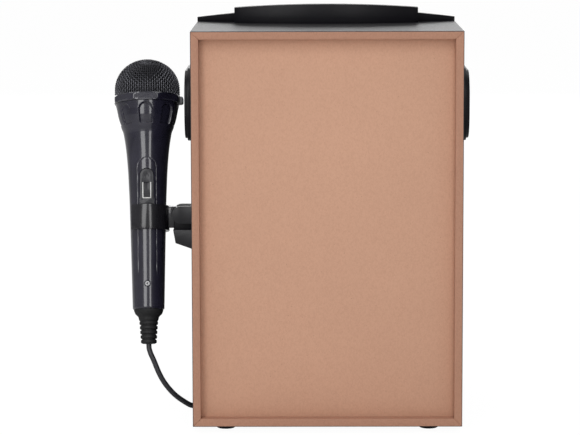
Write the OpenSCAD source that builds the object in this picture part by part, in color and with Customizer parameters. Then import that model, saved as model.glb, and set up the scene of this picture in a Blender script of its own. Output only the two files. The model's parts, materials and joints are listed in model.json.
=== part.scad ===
/* [Cabinet] */
// Width of the wooden box across its side boards
cab_w = 216; // [206:1:240]
// Height of the wooden box without its feet
box_h = 317; // [312:1:360]
// Depth of the wooden boards, from their front edge to the open rear edge
board_d = 208; // [200:1:240]
// Thickness of the four mitred boards and of the shelf
board_t = 6.5; // [5:0.5:8]
// How far the rear panel stands in from the rear edge of the boards
panel_recess = 9; // [5:0.5:14]
// Thickness of the rear panel
panel_t = 4; // [3:0.5:6]
// Height of the top face of the inner shelf above the floor
shelf_z = 194; // [190:1:198]
// Height of a rubber foot
foot_h = 5; // [3:0.5:12]
// Diameter of a rubber foot
foot_d = 15.5; // [10:0.5:20]
// Distance of a foot's centre from the side of the box
foot_side = 26; // [16:1:40]
// Distance of a foot's centre from the rear edge of the box
foot_rear = 22.5; // [14:0.5:40]

/* [Front moulding] */
// Depth of the front moulding ahead of the boards
fascia_d = 14; // [13:0.5:18]
// Wall of the plastic mouldings
wall = 2.5; // [2:0.1:3]
// Radius of the front moulding's upright edges
fascia_r = 9; // [4:0.5:11]
// Height of the front moulding's upper edge above the floor
fascia_top = 262; // [259:1:266]

/* [Console] */
// Slope of the deck at each side of the display housing, in degrees
deck_slope = 38; // [36:0.5:39]
// Height of the deck's crest above the top board, extended to the centre
deck_crest = 11.3; // [10:0.1:14]
// Radius of the crest's arch, seen from behind
deck_arch = 759; // [700:1:1000]
// Radius of the console's bowed rear wall, seen from above
bow_r = 212; // [190:1:260]
// Distance from the rear edge of the boards to the deck's rear wall at the centre
deck_back = 113.6; // [110:0.1:120]
// Width of the raised display housing
pod_w = 152.5; // [148:0.5:160]
// Height of the display housing's crest above the top board
pod_crest = 16; // [14:0.1:19]
// Radius of the arch on top of the display housing
pod_arch = 852; // [700:1:1200]
// Distance from the rear edge of the boards to the display housing's rear wall
pod_back = 103; // [98:0.5:108]
// How far the display housing's face lies above the deck
pod_lift = 5; // [4:0.5:8]
// Slope of the brow behind the display, in degrees
brow_slope = 13; // [8:0.5:16]
// Width of the display window
window_w = 138; // [120:1:140]
// Height of the display window, along the slope
window_h = 82; // [70:1:84]
// Thickness of the display window
window_t = 2; // [1.5:0.1:2.5]
// Thickness of the display module
module_t = 6; // [4:0.5:8]

/* [Speaker] */
// Height of the speaker's centre above the floor
speaker_z = 96; // [94:1:100]
// Radius of the opening for the speaker grille
grille_r = 70; // [64:1:72]
// Width of the light ring round the grille
ring_w = 8; // [5:0.5:9]
// How far the light ring stands proud of the front
ring_proud = 3.5; // [2:0.5:5]
// Number of rings in the grille
grille_rings = 9; // [6:1:11]
// Number of spokes in the grille
grille_spokes = 8; // [4:1:12]
// Height of the grille's dome
grille_dome = 5; // [2:0.5:6]
// Outer radius of the speaker's magnet
magnet_r = 40; // [30:1:46]
// Depth of the speaker behind the front wall
speaker_d = 66; // [62:1:80]

/* [Disc loader] */
// Height of the tray's upper face above the floor
tray_z = 240; // [239:0.5:242]
// Width of the disc tray
tray_w = 128; // [126:1:132]
// Length of the disc tray
tray_l = 160; // [158:1:164]
// Thickness of the disc tray
tray_t = 6; // [5.5:0.25:6.5]
// How far the tray slides out
tray_travel = 128; // [110:1:130]
// Radius of the tray's recess for a 120 mm disc
disc_r = 60.6; // [60.4:0.1:61]
// Radius of the tray's recess for an 80 mm disc
small_disc_r = 40.6; // [40.4:0.1:41]
// Height of the tray's front piece
door_h = 16; // [14:0.5:17]
// Width of the tray's front piece
door_w = 137; // [136:1:140]
// Running clearance of the tray and its front piece
run_gap = 0.4; // [0.3:0.05:0.6]
// Module of the loading gears and rack, in millimetres of pitch diameter a tooth
gear_m = 1; // [1:0.05:1.05]
// Teeth of the drive gear
gear_teeth = 24; // [22:1:26]
// Teeth of the pinion on the belt wheel
pinion_teeth = 10; // [9:1:11]

/* [Controls] */
// Radius of a control knob
knob_r = 10; // [8:0.5:11]
// Length of a control knob
knob_l = 14; // [10:0.5:18]
// Distance of the inner knobs from the centre
knob_in = 56; // [54:1:60]
// Distance of the outer knobs from the centre
knob_out = 86; // [82:1:88]
// Height of the knobs above the floor
knob_z = 200; // [197:1:203]
// Width of a push button
button_w = 15; // [12:0.5:17]
// Height of a push button
button_h = 7; // [5:0.5:8]
// Spacing of the buttons across
button_dx = 20; // [19:0.5:22]
// Spacing of the two rows of buttons
button_dz = 14; // [12:0.5:15]
// Travel of a push button
button_travel = 1.2; // [0.8:0.1:1.3]
// Clearance round a push button
button_gap = 0.25; // [0.15:0.05:0.4]
// Distance of the power button and of the media ports from the centre
corner_x = 89; // [87:1:92]
// Radius of the power button
power_r = 7.5; // [6:0.5:9]
// Distance of the microphone sockets from the centre
socket_x = 90; // [86:1:93]
// Height of the microphone sockets above the floor
socket_z = 24; // [22:1:30]

/* [Carry handles] */
// Width of a carry handle's flange
handle_w = 100; // [92:1:110]
// Height of a carry handle's flange
handle_h = 59; // [52:1:62]
// How far the flange stands proud of the side
handle_proud = 6.4; // [3:0.1:8]
// Distance from the rear edge of the box to the handle's centre
handle_back = 80; // [76:1:100]
// Height of the handle's centre above the floor
handle_z = 260; // [255:1:264]
// Width of the finger opening
cup_w = 78; // [70:1:84]
// Height of the finger opening
cup_h = 36; // [30:1:38]
// Depth of the finger opening behind the board's inner face
cup_d = 17; // [12:1:20]

/* [Microphone] */
// Distance of the microphone's axis from the side of the box
mic_out = 40.7; // [40:0.1:48]
// Distance of the microphone's axis from the rear edge of the box
mic_back = 104; // [96:0.5:112]
// Height of the clip's middle above the floor
mic_z = 159.8; // [155:0.2:170]
// Lean of the microphone's top towards the front
mic_lean = 14.5; // [12:0.5:16]
// Lean of the microphone's top away from the box
mic_roll = 0.7; // [0:0.1:1.5]
// Radius of the ball grille
ball_r = 26.9; // [25:0.1:27.5]
// Diameter of the microphone's cord
cord_d = 4.4; // [4:0.1:4.6]
// Angle from the clip's middle plane to each of its tips, in degrees
clip_reach = 48; // [35:1:55]
// Wall of the clip
clip_t = 2.4; // [2:0.1:3]
// Height of the clip's band
clip_h = 20.6; // [14:0.5:24]
// Clearance between the microphone and its clip
clip_gap = 0.15; // [0.1:0.05:0.3]

/* [Hidden] */
$fn = 96;
EPS = 0.01;
BIG = 600;

// The middle of the whole part's box, seen from the cabinet's own centre
row_x = -31.9;
row_y = 7.5;

// Planes of the cabinet, from its own centre
half_w = cab_w / 2;
inner_x = half_w - board_t;
y_rear = (board_d + fascia_d) / 2;
y_front = -y_rear;
y_board = y_front + fascia_d;
y_wall = y_front + wall;
z_floor = foot_h;
z_top = foot_h + box_h;
panel_y = y_rear - panel_recess - panel_t;

// Slope of the deck and of the display housing
deck_rise = tan(deck_slope);
deck_drop = wall / cos(deck_slope);
deck_front_z = fascia_top + 3;
function deck_z(y) = deck_front_z + (y - y_front) * deck_rise;
function deck_y(z) = y_front + (z - deck_front_z) / deck_rise;
board_cut_y = deck_y(z_top + deck_drop);
pod_front_y = y_front + 6;
brow_y = deck_y(z_top) + 6;
brow_z = deck_z(brow_y) + pod_lift;
brow_rise = tan(brow_slope);
function brow(y) = brow_z + (y - brow_y) * brow_rise;
deck_back_y = y_rear - deck_back;
pod_back_y = y_rear - pod_back;
window_mid_y = (pod_front_y + brow_y) / 2;
window_gap = 0.2;
module_w = window_w - 2;
module_h = window_h - 10;
module_lip = 4;

// Speaker
ring_in = grille_r + 1;
ring_out = ring_in + ring_w;
groove = 1.2;
flange_r = ring_out + 7;
screw_ring = ring_out + 3.5;
voice_r = 12.1;

// Disc loader
tray_half = tray_w / 2;
tray_low = tray_z - tray_t;
door_t = 4;
tray_y0 = y_front + door_t;
tray_y1 = tray_y0 + tray_l;
disc_lip = 7;
disc_y = tray_y0 + disc_lip + disc_r;
disc_deep = 2.5;
small_deep = 1;
slot_half = 22;
door_z = tray_z - 0.5;
frame_t = 2.5;
frame_half = tray_half + run_gap + 3.5;
frame_z = tray_low - 12;
frame_y0 = tray_y0 + run_gap;
frame_y1 = tray_y1 + 16;
ledge = 2.4;
deck_level = frame_z + frame_t;
shelf_top = shelf_z;

// Loading gears, on upright axles below the tray
rack_x = -56;
gear_t = 3;
rack_t = gear_t - 0.6;
gear_low = tray_low - 0.5 - gear_t;
gear_r = gear_m * gear_teeth / 2;
gear_x = rack_x + gear_r;
gear_y = y_board + 10;
pinion_r = gear_m * pinion_teeth / 2;
pinion_turn = 20;
pinion_x = gear_x + (gear_r + pinion_r) * cos(pinion_turn);
pinion_y = gear_y + (gear_r + pinion_r) * sin(pinion_turn);
wheel_r = 11;
wheel_t = 3;
wheel_low = gear_low - wheel_t - 0.6;
pulley_r = 3.2;
pulley_x = pinion_x + 26;
belt_t = 1.2;
axle_r = 1.5;
axle_gap = 0.05;
backlash = 0.22;

// Disc drive
platter_top = tray_z - disc_deep + 1.2;
platter_r = 13;
hub_r = 7.3;
spindle_motor_r = 12;
rod_x = 17;
rod_r = 1.5;
rod_z = frame_z + 9;
sled_l = 24;
sled_y = disc_y + 18;
sled_travel = 34;
rod_y0 = sled_y - 3;
rod_y1 = sled_y + sled_l + sled_travel + 4;
bridge_z = tray_z + 8;
bridge_t = 2;
bridge_half_l = 17;
clamp_neck = 9.5;
clamp_hole_gap = 0.5;

// Boards behind the front moulding
control_t = 1.6;
control_y = y_board - 2.5;
control_z0 = knob_z - 15;
control_z1 = knob_z + 14;
button_z = knob_z + 1;
button_flange = 1.3;
button_flange_t = 1.4;
button_proud = 1.8;
switch_gap = 0.1;
shaft_r = 3;
shaft_gap = 0.06;
knob_lift = 0.6;

KNOB_X = [-knob_out, -knob_in, knob_in, knob_out];
BUTTONS = [for (z = [0.5, -0.5], x = [-1, 0, 1]) [x * button_dx, button_z + z * button_dz]];

// Microphone, measured along its axis from the lower end of its body
mic_x = half_w + mic_out;
mic_y = y_rear - mic_back;
collar_low = 172.4;
collar_high = 179;
dome_z = collar_high + 5.7;
ridge_z = 149;
MIC_SIDE = [
    [0, 12.8], [0.6, 13.2], [24, 13.7], [58, 14.5],
    [92, 15.4], [115, 16.4], [127, 17.3], [136, 18.2], [142, 19.1], [147, 20],
    [ridge_z, 20.5], [ridge_z + 2, 21.4], [ridge_z + 4.4, 22.2], [157, 23.5], [161, 24.6], [166, 25.6],
    [collar_low, 26.6]];
clip_z = 65.7;
function mic_radius(h, i = 0) =
    i >= len(MIC_SIDE) - 2 || h <= MIC_SIDE[i + 1][0]
        ? MIC_SIDE[i][1] + (h - MIC_SIDE[i][0]) * (MIC_SIDE[i + 1][1] - MIC_SIDE[i][1])
            / (MIC_SIDE[i + 1][0] - MIC_SIDE[i][0])
        : mic_radius(h, i + 1);
relief_l = 28.4;
relief_top_r = 8.6;
relief_tip_r = 5.4;
flute_count = 8;
flute_half = 5.9;
flute_up = 8.7;
flute_deep = 1.7;
flute_slope = 14;
flute_z = ridge_z + 4.4 + flute_up;
switch_z0 = 86.5;
switch_z1 = 116.3;
slot_z = 92.1;
slot_l = 12.5;
// The axis that the microphone leans along
MIC_AXIS = [cos(mic_lean) * sin(mic_roll), -sin(mic_lean), cos(mic_lean) * cos(mic_roll)];
mic_tip = [mic_x, mic_y, mic_z] - MIC_AXIS * (clip_z + clip_h / 2 + relief_l);
switch_w = 11.6;
switch_y = 14.2;

// Holder on the side board
pivot_x = half_w + 13;
pivot_z = mic_z + 4.3;
ear_r = 7.2;
ear_t = 5;
lug_half = 5;
plate_t = 2.2;
plate_w = 34;
plate_z0 = mic_z - 24.6;
plate_z1 = mic_z + 17.4;

// Route of the free cord from the strain relief to the coil: distances from the front corner of the
// box on the microphone's side, and height above the cord's rest on the floor
cord_r = cord_d / 2;
ROUTE = [
    [39.5, 144.1, 56.5], [39.3, 145.1, 52.6], [38, 146, 48.6], [35.9, 146.8, 44.2], [34.1, 147.3, 39.9],
    [32.2, 147.7, 35.1], [29.8, 147.9, 29.9], [27, 147.6, 24.9], [23.2, 146.8, 19.5],
    [18.9, 145.3, 14.4], [14.9, 143.2, 10.5], [11.1, 140.3, 7.2], [7.9, 136.5, 4.3],
    [5.5, 131.6, 2], [4, 125.8, 0.6], [3.2, 119, 0.1], [2.8, 111, 0],
    [2.8, 99, 0], [2.8, 83, 0], [2.8, 67, 0], [2.8, 51, 0], [2.8, 35, 0],
    [2.8, 19, 0], [2.6, 7, 0], [1.6, -4, 0], [-1.6, -14, 0], [-7.6, -22, 0],
    [-16, -27, 0], [-26, -29.4, 0], [-35, -30, 0], [-44.6, -30, 0]];
HANG = [for (p = ROUTE) let (hang = p[2] / ROUTE[0][2]) [
    half_w + p[0] + hang * (mic_tip[0] - half_w - ROUTE[0][0]),
    y_front + p[1] + hang * (mic_tip[1] - y_front - ROUTE[0][1]),
    cord_r + hang * (mic_tip[2] - cord_r)]];
// Straight out of the strain relief for the first millimetre, so that its end sits flat
CORD = concat([HANG[0] - MIC_AXIS * 0.02, HANG[0] - MIC_AXIS * 1.2], [for (i = [1:len(HANG) - 1]) HANG[i]]);

// Coil of the length that is put away, on the floor in front of the box
coil_pitch = cord_d + 1.3;
coil_step = cord_d + 0.7;
coil_turns = 3.125;
coil_layers = 4;
coil_out = 33.4;
coil_in = coil_out - coil_turns * coil_pitch;
coil_x = half_w - 49;
coil_y = y_front - 30 - coil_out;
coil_lead = cord_d;
RINGS = 24;
layer_rings = coil_turns * RINGS;
climb_rings = RINGS / 2;
span_rings = layer_rings + climb_rings;
coil_last = coil_layers * layer_rings + (coil_layers - 1) * climb_rings;

// Route of the cord's end from the top of the coil down to the plug, with its share of the height
plug_z = 5.5;
coil_top = cord_r + (coil_layers - 1) * coil_step;
REACH = [
    [53.4, 1], [58, 1], [63, 0.96], [68, 0.84], [73, 0.67],
    [78, 0.48], [83, 0.29], [88, 0.13], [93, 0.03], [98, 0]];
TAIL = [for (p = REACH) [half_w - p[0], y_front - 30, plug_z + p[1] * (coil_top - plug_z)]];

// Shared forms

// Carries a piece from the cabinet's own centre to the part's origin
module seat() {
    translate([row_x, row_y, 0]) children();
}

// An outline in X and Z, carried along Y
module along_y(y0, y1) {
    translate([0, y1, 0]) rotate([90, 0, 0]) linear_extrude(y1 - y0) children();
}

// An outline in Y and Z, carried along X
module along_x(x0, x1) {
    translate([x0, 0, 0]) rotate([90, 0, 90]) linear_extrude(x1 - x0) children();
}

// An outline in X and Y, carried along Z
module along_z(z0, z1) {
    translate([0, 0, z0]) linear_extrude(z1 - z0) children();
}

// A profile of radius and height, turned about an axis that points to the front
module turned_front(x, y, z) {
    translate([x, y, z]) rotate([90, 0, 0]) rotate_extrude() children();
}

module rounded(w, h, r) {
    square([w - 2 * r, h], center = true);
    square([w, h - 2 * r], center = true);
    for (x = [-1, 1], y = [-1, 1]) translate([x * (w / 2 - r), y * (h / 2 - r)]) circle(r);
}

module rod_y(x, z, r, y0, y1) {
    translate([x, y0, z]) rotate([-90, 0, 0]) cylinder(r = r, h = y1 - y0);
}

module box(x0, x1, y0, y1, z0, z1) {
    translate([x0, y0, z0]) cube([x1 - x0, y1 - y0, z1 - z0]);
}

// Cabinet

module mitred_board(z_out, z_in, y0) {
    along_y(y0, y_rear)
        polygon([[-half_w, z_out], [half_w, z_out], [inner_x, z_in], [-inner_x, z_in]]);
}

module top_board() seat() color([0.25, 0.24, 0.25])
    mitred_board(z_top, z_top - board_t, board_cut_y);

module base_board() seat() color([0.25, 0.24, 0.25])
    mitred_board(z_floor, z_floor + board_t, y_board);

// A side board, mitred top and bottom, with the slope of the deck cut from its upper front corner
module side_board(side) {
    difference() {
        intersection() {
            along_x(min(side * half_w, side * inner_x), max(side * half_w, side * inner_x))
                polygon([[y_rear, z_floor], [y_rear, z_top], [board_cut_y, z_top],
                    [y_board, deck_z(y_board) - deck_drop], [y_board, z_floor]]);
            along_y(y_board, y_rear)
                polygon([[side * half_w, z_floor], [side * half_w, z_top],
                    [side * inner_x, z_top - board_t], [side * inner_x, z_floor + board_t]]);
        }
        handle_hole(side);
    }
}

module handle_hole(side) {
    translate([side * half_w, y_rear - handle_back, handle_z])
        rotate([90, 0, 90]) translate([0, 0, -BIG / 20])
            linear_extrude(BIG / 10) rounded(cup_w + 2 * wall, cup_h + 2 * wall, cup_h / 2);
}

module left_board() seat() color([0.25, 0.24, 0.25]) difference() {
    side_board(-1);
    jack_hole(0);
}

module right_board() seat() color([0.25, 0.24, 0.25]) side_board(1);

module rear_panel() seat() color([0.78, 0.61, 0.51])
    box(-inner_x, inner_x, panel_y, panel_y + panel_t, z_floor + board_t, z_top - board_t);

module shelf_board() seat() color([0.72, 0.56, 0.45])
    box(-inner_x, inner_x, y_board, panel_y, shelf_top - board_t, shelf_top);

module feet() seat() color([0.1, 0.1, 0.1])
    for (x = [-1, 1], y = [y_rear - foot_rear, y_board + foot_rear])
        translate([x * (half_w - foot_side), y, 0]) rotate_extrude()
            polygon([[0, 0], [foot_d / 2 - 0.8, 0], [foot_d / 2, 0.8], [foot_d / 2 - 0.5, foot_h],
                [0, foot_h]]);

// Front moulding

// Outline of the front moulding from above, drawn in by a margin
module front_plan(margin, y1) {
    r = fascia_r - margin;
    x = half_w - margin;
    y = y_front + margin;
    intersection() {
        union() {
            translate([-x, y + r]) square([2 * x, BIG]);
            translate([-x + r, y]) square([2 * (x - r), r + 1]);
            for (s = [-1, 1]) translate([s * (x - r), y + r]) circle(r);
        }
        translate([-x, y]) square([2 * x, y1 - y]);
    }
}

module door_slot() {
    translate([0, 0, door_z]) along_y(y_front - 1, y_wall + 1)
        rounded(door_w + 2 * run_gap, door_h + 2 * run_gap, 2);
}

module front_fascia() seat() color([0.13, 0.13, 0.15]) difference() {
    union() {
        difference() {
            along_z(z_floor, fascia_top) front_plan(0, y_board);
            along_z(z_floor + wall, fascia_top - wall) front_plan(wall, y_board + 1);
        }
        for (x = [-1, 1], z = [control_z0 + 4, control_z1 - 4])
            rod_y(x * (inner_x - 6), z, 3, y_wall - EPS, control_y);
        // Raised frame round the push buttons
        translate([0, 0, button_z]) along_y(y_front - 0.8, y_front + EPS) difference() {
            rounded(3 * button_dx + 4, 2 * button_dz + 4, 4);
            rounded(3 * button_dx + 1, 2 * button_dz + 1, 3);
        }
    }
    door_slot();
    turned_front(0, y_wall + 1, speaker_z) square([ring_in, wall + 2]);
    turned_front(0, y_front + groove, speaker_z) square([ring_out + 0.1, groove + 1]);
    for (a = [45:90:315])
        translate([screw_ring * cos(a), 0, screw_ring * sin(a) + speaker_z])
            rod_y(0, 0, 1.5, y_wall - 1.7, y_wall + 1);
    for (x = KNOB_X) rod_y(x, knob_z, shaft_r + 0.8, y_front - 1, y_wall + 1);
    for (b = BUTTONS) translate([b[0], 0, b[1]]) button_hole();
    rod_y(corner_x, door_z, power_r + button_gap, y_front - 1, y_wall + 1);
    translate([-corner_x, 0, door_z]) {
        along_y(y_front - 1, y_wall + 1) rounded(24, 18, 2);
        along_y(y_wall, y_wall + 2) rounded(26.4, 20.4, 2);
    }
    for (x = [-1, 1]) rod_y(x * socket_x, socket_z, 6.1, y_front - 1, y_wall + 1);
}

module button_hole() {
    along_y(y_front - 2, y_wall + 1)
        rounded(button_w + 2 * button_gap, button_h + 2 * button_gap, 1.5 + button_gap);
}

// Console and display

// A wall that bows to the rear as far as y
module bowed_wall(y) {
    translate([0, y - bow_r, fascia_top - 10]) cylinder(r = bow_r, h = 200, $fn = 400);
}

// A top that arches across as high as z
module arched_top(z, r) {
    rod_y(0, z - r, r, y_front - 1, y_rear, $fn = 400);
}

// The console's outer form: a deck with a raised housing for the display
module console_form() {
    intersection() {
        along_z(fascia_top, BIG) front_plan(0, y_rear);
        bowed_wall(deck_back_y);
        arched_top(z_top + deck_crest, deck_arch);
        along_x(-half_w, half_w) polygon([[y_front, fascia_top], [y_front, deck_front_z],
            [y_rear, deck_z(y_rear)], [y_rear, z_top], [board_cut_y, z_top],
            [y_board, deck_z(y_board) - deck_drop], [y_board, fascia_top]]);
    }
    intersection() {
        bowed_wall(pod_back_y);
        arched_top(z_top + pod_crest, pod_arch);
        along_x(-pod_w / 2, pod_w / 2) polygon([[pod_front_y, deck_z(pod_front_y) - deck_drop],
            [pod_front_y, deck_z(pod_front_y) + pod_lift], [brow_y, brow_z],
            [y_rear, brow(y_rear)], [y_rear, z_top], [board_cut_y, z_top]]);
    }
}

// The room under the console's walls
module console_room() {
    inner_brow = brow_y + wall / 2;
    along_x(wall - half_w, half_w - wall) polygon([[y_wall, fascia_top - 1],
        [y_wall, deck_z(y_wall) - deck_drop], [y_board, deck_z(y_board) - deck_drop],
        [y_board, fascia_top - 1]]);
    along_x(wall - pod_w / 2, pod_w / 2 - wall) polygon([[pod_front_y + wall, fascia_top],
        [pod_front_y + wall, deck_z(pod_front_y + wall) + pod_lift - deck_drop],
        [inner_brow, deck_z(inner_brow) + pod_lift - deck_drop],
        [pod_back_y - 20, brow(pod_back_y - 20) - wall - 0.1], [pod_back_y - 20, z_top - 1],
        [board_cut_y, z_top - 1], [y_board, deck_z(y_board) - deck_drop - 1], [y_board, fascia_top]]);
}

// Carries a piece onto the display housing's sloped face, with Z square to it
module on_pod() {
    translate([0, window_mid_y, deck_z(window_mid_y) + pod_lift]) rotate([deck_slope, 0, 0]) children();
}

module top_console() seat() color([0.11, 0.11, 0.12]) difference() {
    console_form();
    console_room();
    on_pod() along_z(-window_t, BIG / 10)
        rounded(window_w + 2 * window_gap, window_h + 2 * window_gap, 4 + window_gap);
    on_pod() along_z(-wall - 1, 1) rounded(module_w - module_lip, module_h - module_lip, 2);
}

module display_window() seat() color([0.03, 0.03, 0.04]) on_pod()
    along_z(-window_t, -0.2) rounded(window_w, window_h, 4);

module display_module() seat() color([0.5, 0.5, 0.52]) on_pod() difference() {
    along_z(-wall - module_t, -wall)
        rounded(module_w, module_h, 1);
    along_z(-wall - module_t - 1, -wall - module_t + 1.5) rounded(module_w - 12, module_h - 14, 1);
}

// Speaker

module light_ring() seat() color([0.85, 0.87, 0.9])
    turned_front(0, y_front + groove, speaker_z) polygon([[ring_in, 0], [ring_out, 0],
        [ring_out, groove + ring_proud - 1.5], [ring_out - 1.5, groove + ring_proud],
        [ring_in + 1, groove + ring_proud], [ring_in, groove + ring_proud - 1]]);

// Height of the grille's dome at a radius
function dome(r) = grille_dome * (1 - pow(r / grille_r, 2));

module speaker_grille() seat() color([0.1, 0.1, 0.11]) {
    rib = 2.2;
    step = (grille_r - 6) / grille_rings;
    turned_front(0, y_wall, speaker_z) {
        translate([grille_r - 4, 0]) square([3.8, wall + 2]);
        for (i = [1:grille_rings - 1])
            translate([i * step - rib / 2 + 4, dome(i * step) + 1]) square([rib, 3]);
        square([6, dome(0) + 4.6]);
    }
    intersection() {
        turned_front(0, y_wall, speaker_z) polygon([for (r = [0:10:grille_r - 2]) [r, dome(r) + 2.6],
            for (r = [grille_r - 2:-10:0]) [r, dome(r) + 0.6], [0, dome(0) + 0.6]]);
        for (i = [0:grille_spokes - 1]) translate([0, 0, speaker_z]) rotate([0, i * 360 / grille_spokes, 0])
            box(0, grille_r - 2, y_front - BIG / 10, y_wall, -1, 1);
    }
}

module speaker_basket() seat() color([0.2, 0.2, 0.21]) {
    back = speaker_d - 20;
    difference() {
        turned_front(0, y_wall + back, speaker_z) polygon([[ring_in - 4, back], [flange_r, back],
            [flange_r, back - 1.6], [ring_in, back - 1.6], [ring_in - 3, back - 14],
            [magnet_r + 3, 0], [14, 0], [14, 2], [magnet_r + 1, 2], [ring_in - 6, back - 12]]);
        for (i = [0:5]) translate([0, 0, speaker_z]) rotate([0, i * 60, 0])
            box(magnet_r + 5, ring_in - 7, y_wall + 12, y_wall + back - 3, -17, 17);
        for (a = [45:90:315])
            translate([screw_ring * cos(a), 0, screw_ring * sin(a) + speaker_z])
                rod_y(0, 0, 1.6, y_wall - 1, y_wall + 3);
    }
}

module speaker_surround() seat() color([0.08, 0.08, 0.08])
    turned_front(0, y_wall + 1.6, speaker_z) {
        difference() {
            translate([ring_in - 11, 0]) circle(5);
            translate([ring_in - 11, 0]) circle(4.2);
            square([BIG, BIG]);
        }
        translate([ring_in - 6.8, 0]) square([2.4, 0.8]);
    }

module speaker_cone() seat() color([0.15, 0.15, 0.16])
    turned_front(0, y_wall + 1.6, speaker_z) polygon([
        [ring_in - 16, -0.2], [ring_in - 16, 0.8], [ring_in - 17.3, 0.8], [18, -26.1],
        [14, -22.5], [8, -19.8], [0, -18.8], [0, -19.8], [8, -20.8], [13.2, -23.5],
        [voice_r, -30], [voice_r, 10 - speaker_d + 1.6], [voice_r + 0.6, 10 - speaker_d + 1.6],
        [voice_r + 0.6, -31.5]]);

// The magnet's pole stands in the voice coil, which runs in the groove round it
module speaker_magnet() seat() color([0.35, 0.35, 0.37])
    turned_front(0, y_wall + speaker_d, speaker_z)
        polygon([[0, 0], [magnet_r - 4, 0], [magnet_r - 4, 3], [magnet_r, 3.5], [magnet_r, 16],
            [magnet_r - 3, 16.5], [magnet_r - 3, 20], [voice_r + 1.4, 20], [voice_r + 1.4, 6],
            [voice_r - 0.8, 6], [voice_r - 0.8, 22], [0, 22]]);

module speaker_screws() seat() color([0.6, 0.6, 0.62])
    for (a = [45:90:315])
        translate([screw_ring * cos(a), y_wall, screw_ring * sin(a) + speaker_z]) {
            rod_y(0, 0, 3, 1.6, 3.6);
            rod_y(0, 0, 1.4, -1.5, 1.7);
        }

// Disc loader

module loader_frame() seat() color([0.16, 0.16, 0.17]) difference() {
    union() {
        box(-frame_half, frame_half, frame_y0, frame_y1, frame_z, deck_level);
        for (s = [-1, 1]) {
            x = s * (tray_half + run_gap);
            box(min(x, s * frame_half), max(x, s * frame_half), frame_y0, frame_y1,
                deck_level - EPS, bridge_z);
            // Runners below and above the tray's edge
            box(min(x, x - s * ledge), max(x, x - s * ledge), y_board, frame_y1,
                deck_level - EPS, tray_low);
            for (y = [y_board + 4, disc_y + 22, tray_y1 - 14])
                box(min(x, x - s * ledge), max(x, x - s * ledge), y, y + 10,
                    tray_z + run_gap, tray_z + run_gap + 1.6);
            for (y = [y_board + 4, frame_y1 - 12])
                box(s * (frame_half - 5) - 5, s * (frame_half - 5) + 5, y, y + 8, shelf_top,
                    frame_z + EPS);
        }
        for (p = [[gear_x, gear_y, gear_low + gear_t], [pinion_x, pinion_y, gear_low + gear_t]])
            translate([p[0], p[1], deck_level - EPS]) cylinder(r = axle_r, h = p[2] - deck_level);
        translate([gear_x, gear_y, deck_level - EPS]) cylinder(r = 3, h = gear_low - deck_level - 0.1);
    }
    translate([0, disc_y, frame_z - 1]) cylinder(r = spindle_motor_r - 3, h = BIG / 10);
    box(-spindle_motor_r - 1, spindle_motor_r + 1, disc_y + spindle_motor_r + 4, rod_y1 - 4,
        frame_z - 1, deck_level + 1);
    translate([pulley_x, pinion_y, frame_z - 1]) cylinder(r = 4, h = BIG / 10);
}

module tray_plan(x0, x1, y0, y1, r) {
    translate([x0 + r, y0]) square([x1 - x0 - 2 * r, y1 - y0]);
    translate([x0, y0 + r]) square([x1 - x0, y1 - y0 - r]);
    for (x = [x0 + r, x1 - r]) translate([x, y0 + r]) circle(r);
}

module disc_tray() seat() color([0.14, 0.14, 0.15]) {
    difference() {
        along_z(tray_low, tray_z) tray_plan(-tray_half, tray_half, tray_y0, tray_y1, 1);
        translate([0, disc_y, tray_z - disc_deep]) cylinder(r = disc_r, h = BIG / 10, $fn = 200);
        translate([0, disc_y, tray_z - disc_deep - small_deep]) cylinder(r = small_disc_r, h = BIG / 10);
        translate([0, disc_y, tray_low - 1]) cylinder(r = slot_half, h = BIG / 10);
        box(-slot_half, slot_half, disc_y, tray_y1 + 1, tray_low - 1, tray_z + 1);
        // Finger scoops beside the disc
        for (s = [-1, 1]) translate([s * tray_half, disc_y, tray_z + 5]) sphere(r = 11);
    }
    tray_rack();
}

// Rack below the tray, with its teeth towards the drive gear
module tray_rack() {
    pitch = PI * gear_m;
    first = gear_y - pitch / 2 - floor((gear_y - tray_y0 - 6) / pitch) * pitch;
    count = floor((tray_y1 - 4 - first) / pitch);
    low = tray_low - rack_t;
    box(rack_x - 4, rack_x - 1.25 * gear_m + 0.01, tray_y0 + 3, tray_y1 - 1, low, tray_low + EPS);
    for (i = [0:count - 1]) translate([rack_x, first + i * pitch, 0]) along_z(low, tray_low + EPS)
        polygon(rack_tooth());
}

// One rack tooth, from its root to its tip
function rack_tooth() = let (
    half = PI * gear_m / 4 - backlash / 2,
    lean = tan(20) * gear_m)
    [[-1.25 * gear_m, -half - 1.25 * lean], [0.9 * gear_m, -half + 0.9 * lean],
        [0.9 * gear_m, half - 0.9 * lean], [-1.25 * gear_m, half + 1.25 * lean]];

// Outline of a spur gear with involute flanks, one tooth centred on an angle
function involute(r, base) = r <= base ? 0 : let (a = sqrt(pow(r / base, 2) - 1))
    a * 180 / PI - atan(a);
function flank(teeth, r) = let (
    pitch_r = gear_m * teeth / 2,
    base = pitch_r * cos(20),
    half = 90 / teeth - backlash / 4 / pitch_r * 180 / PI)
    half + involute(pitch_r, base) - involute(r, base);
module gear_outline(teeth, angle) {
    pitch_r = gear_m * teeth / 2;
    root = pitch_r - 1.25 * gear_m;
    tip = pitch_r + 0.9 * gear_m;
    radii = [root, pitch_r - 0.45 * gear_m, pitch_r, pitch_r + 0.5 * gear_m, tip];
    polygon([for (i = [0:teeth - 1]) let (mid = angle + i * 360 / teeth)
        each [for (r = radii) let (a = mid - flank(teeth, r)) [r * cos(a), r * sin(a)],
            for (j = [len(radii) - 1:-1:0]) let (r = radii[j], a = mid + flank(teeth, r))
                [r * cos(a), r * sin(a)]]]);
}

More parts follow.
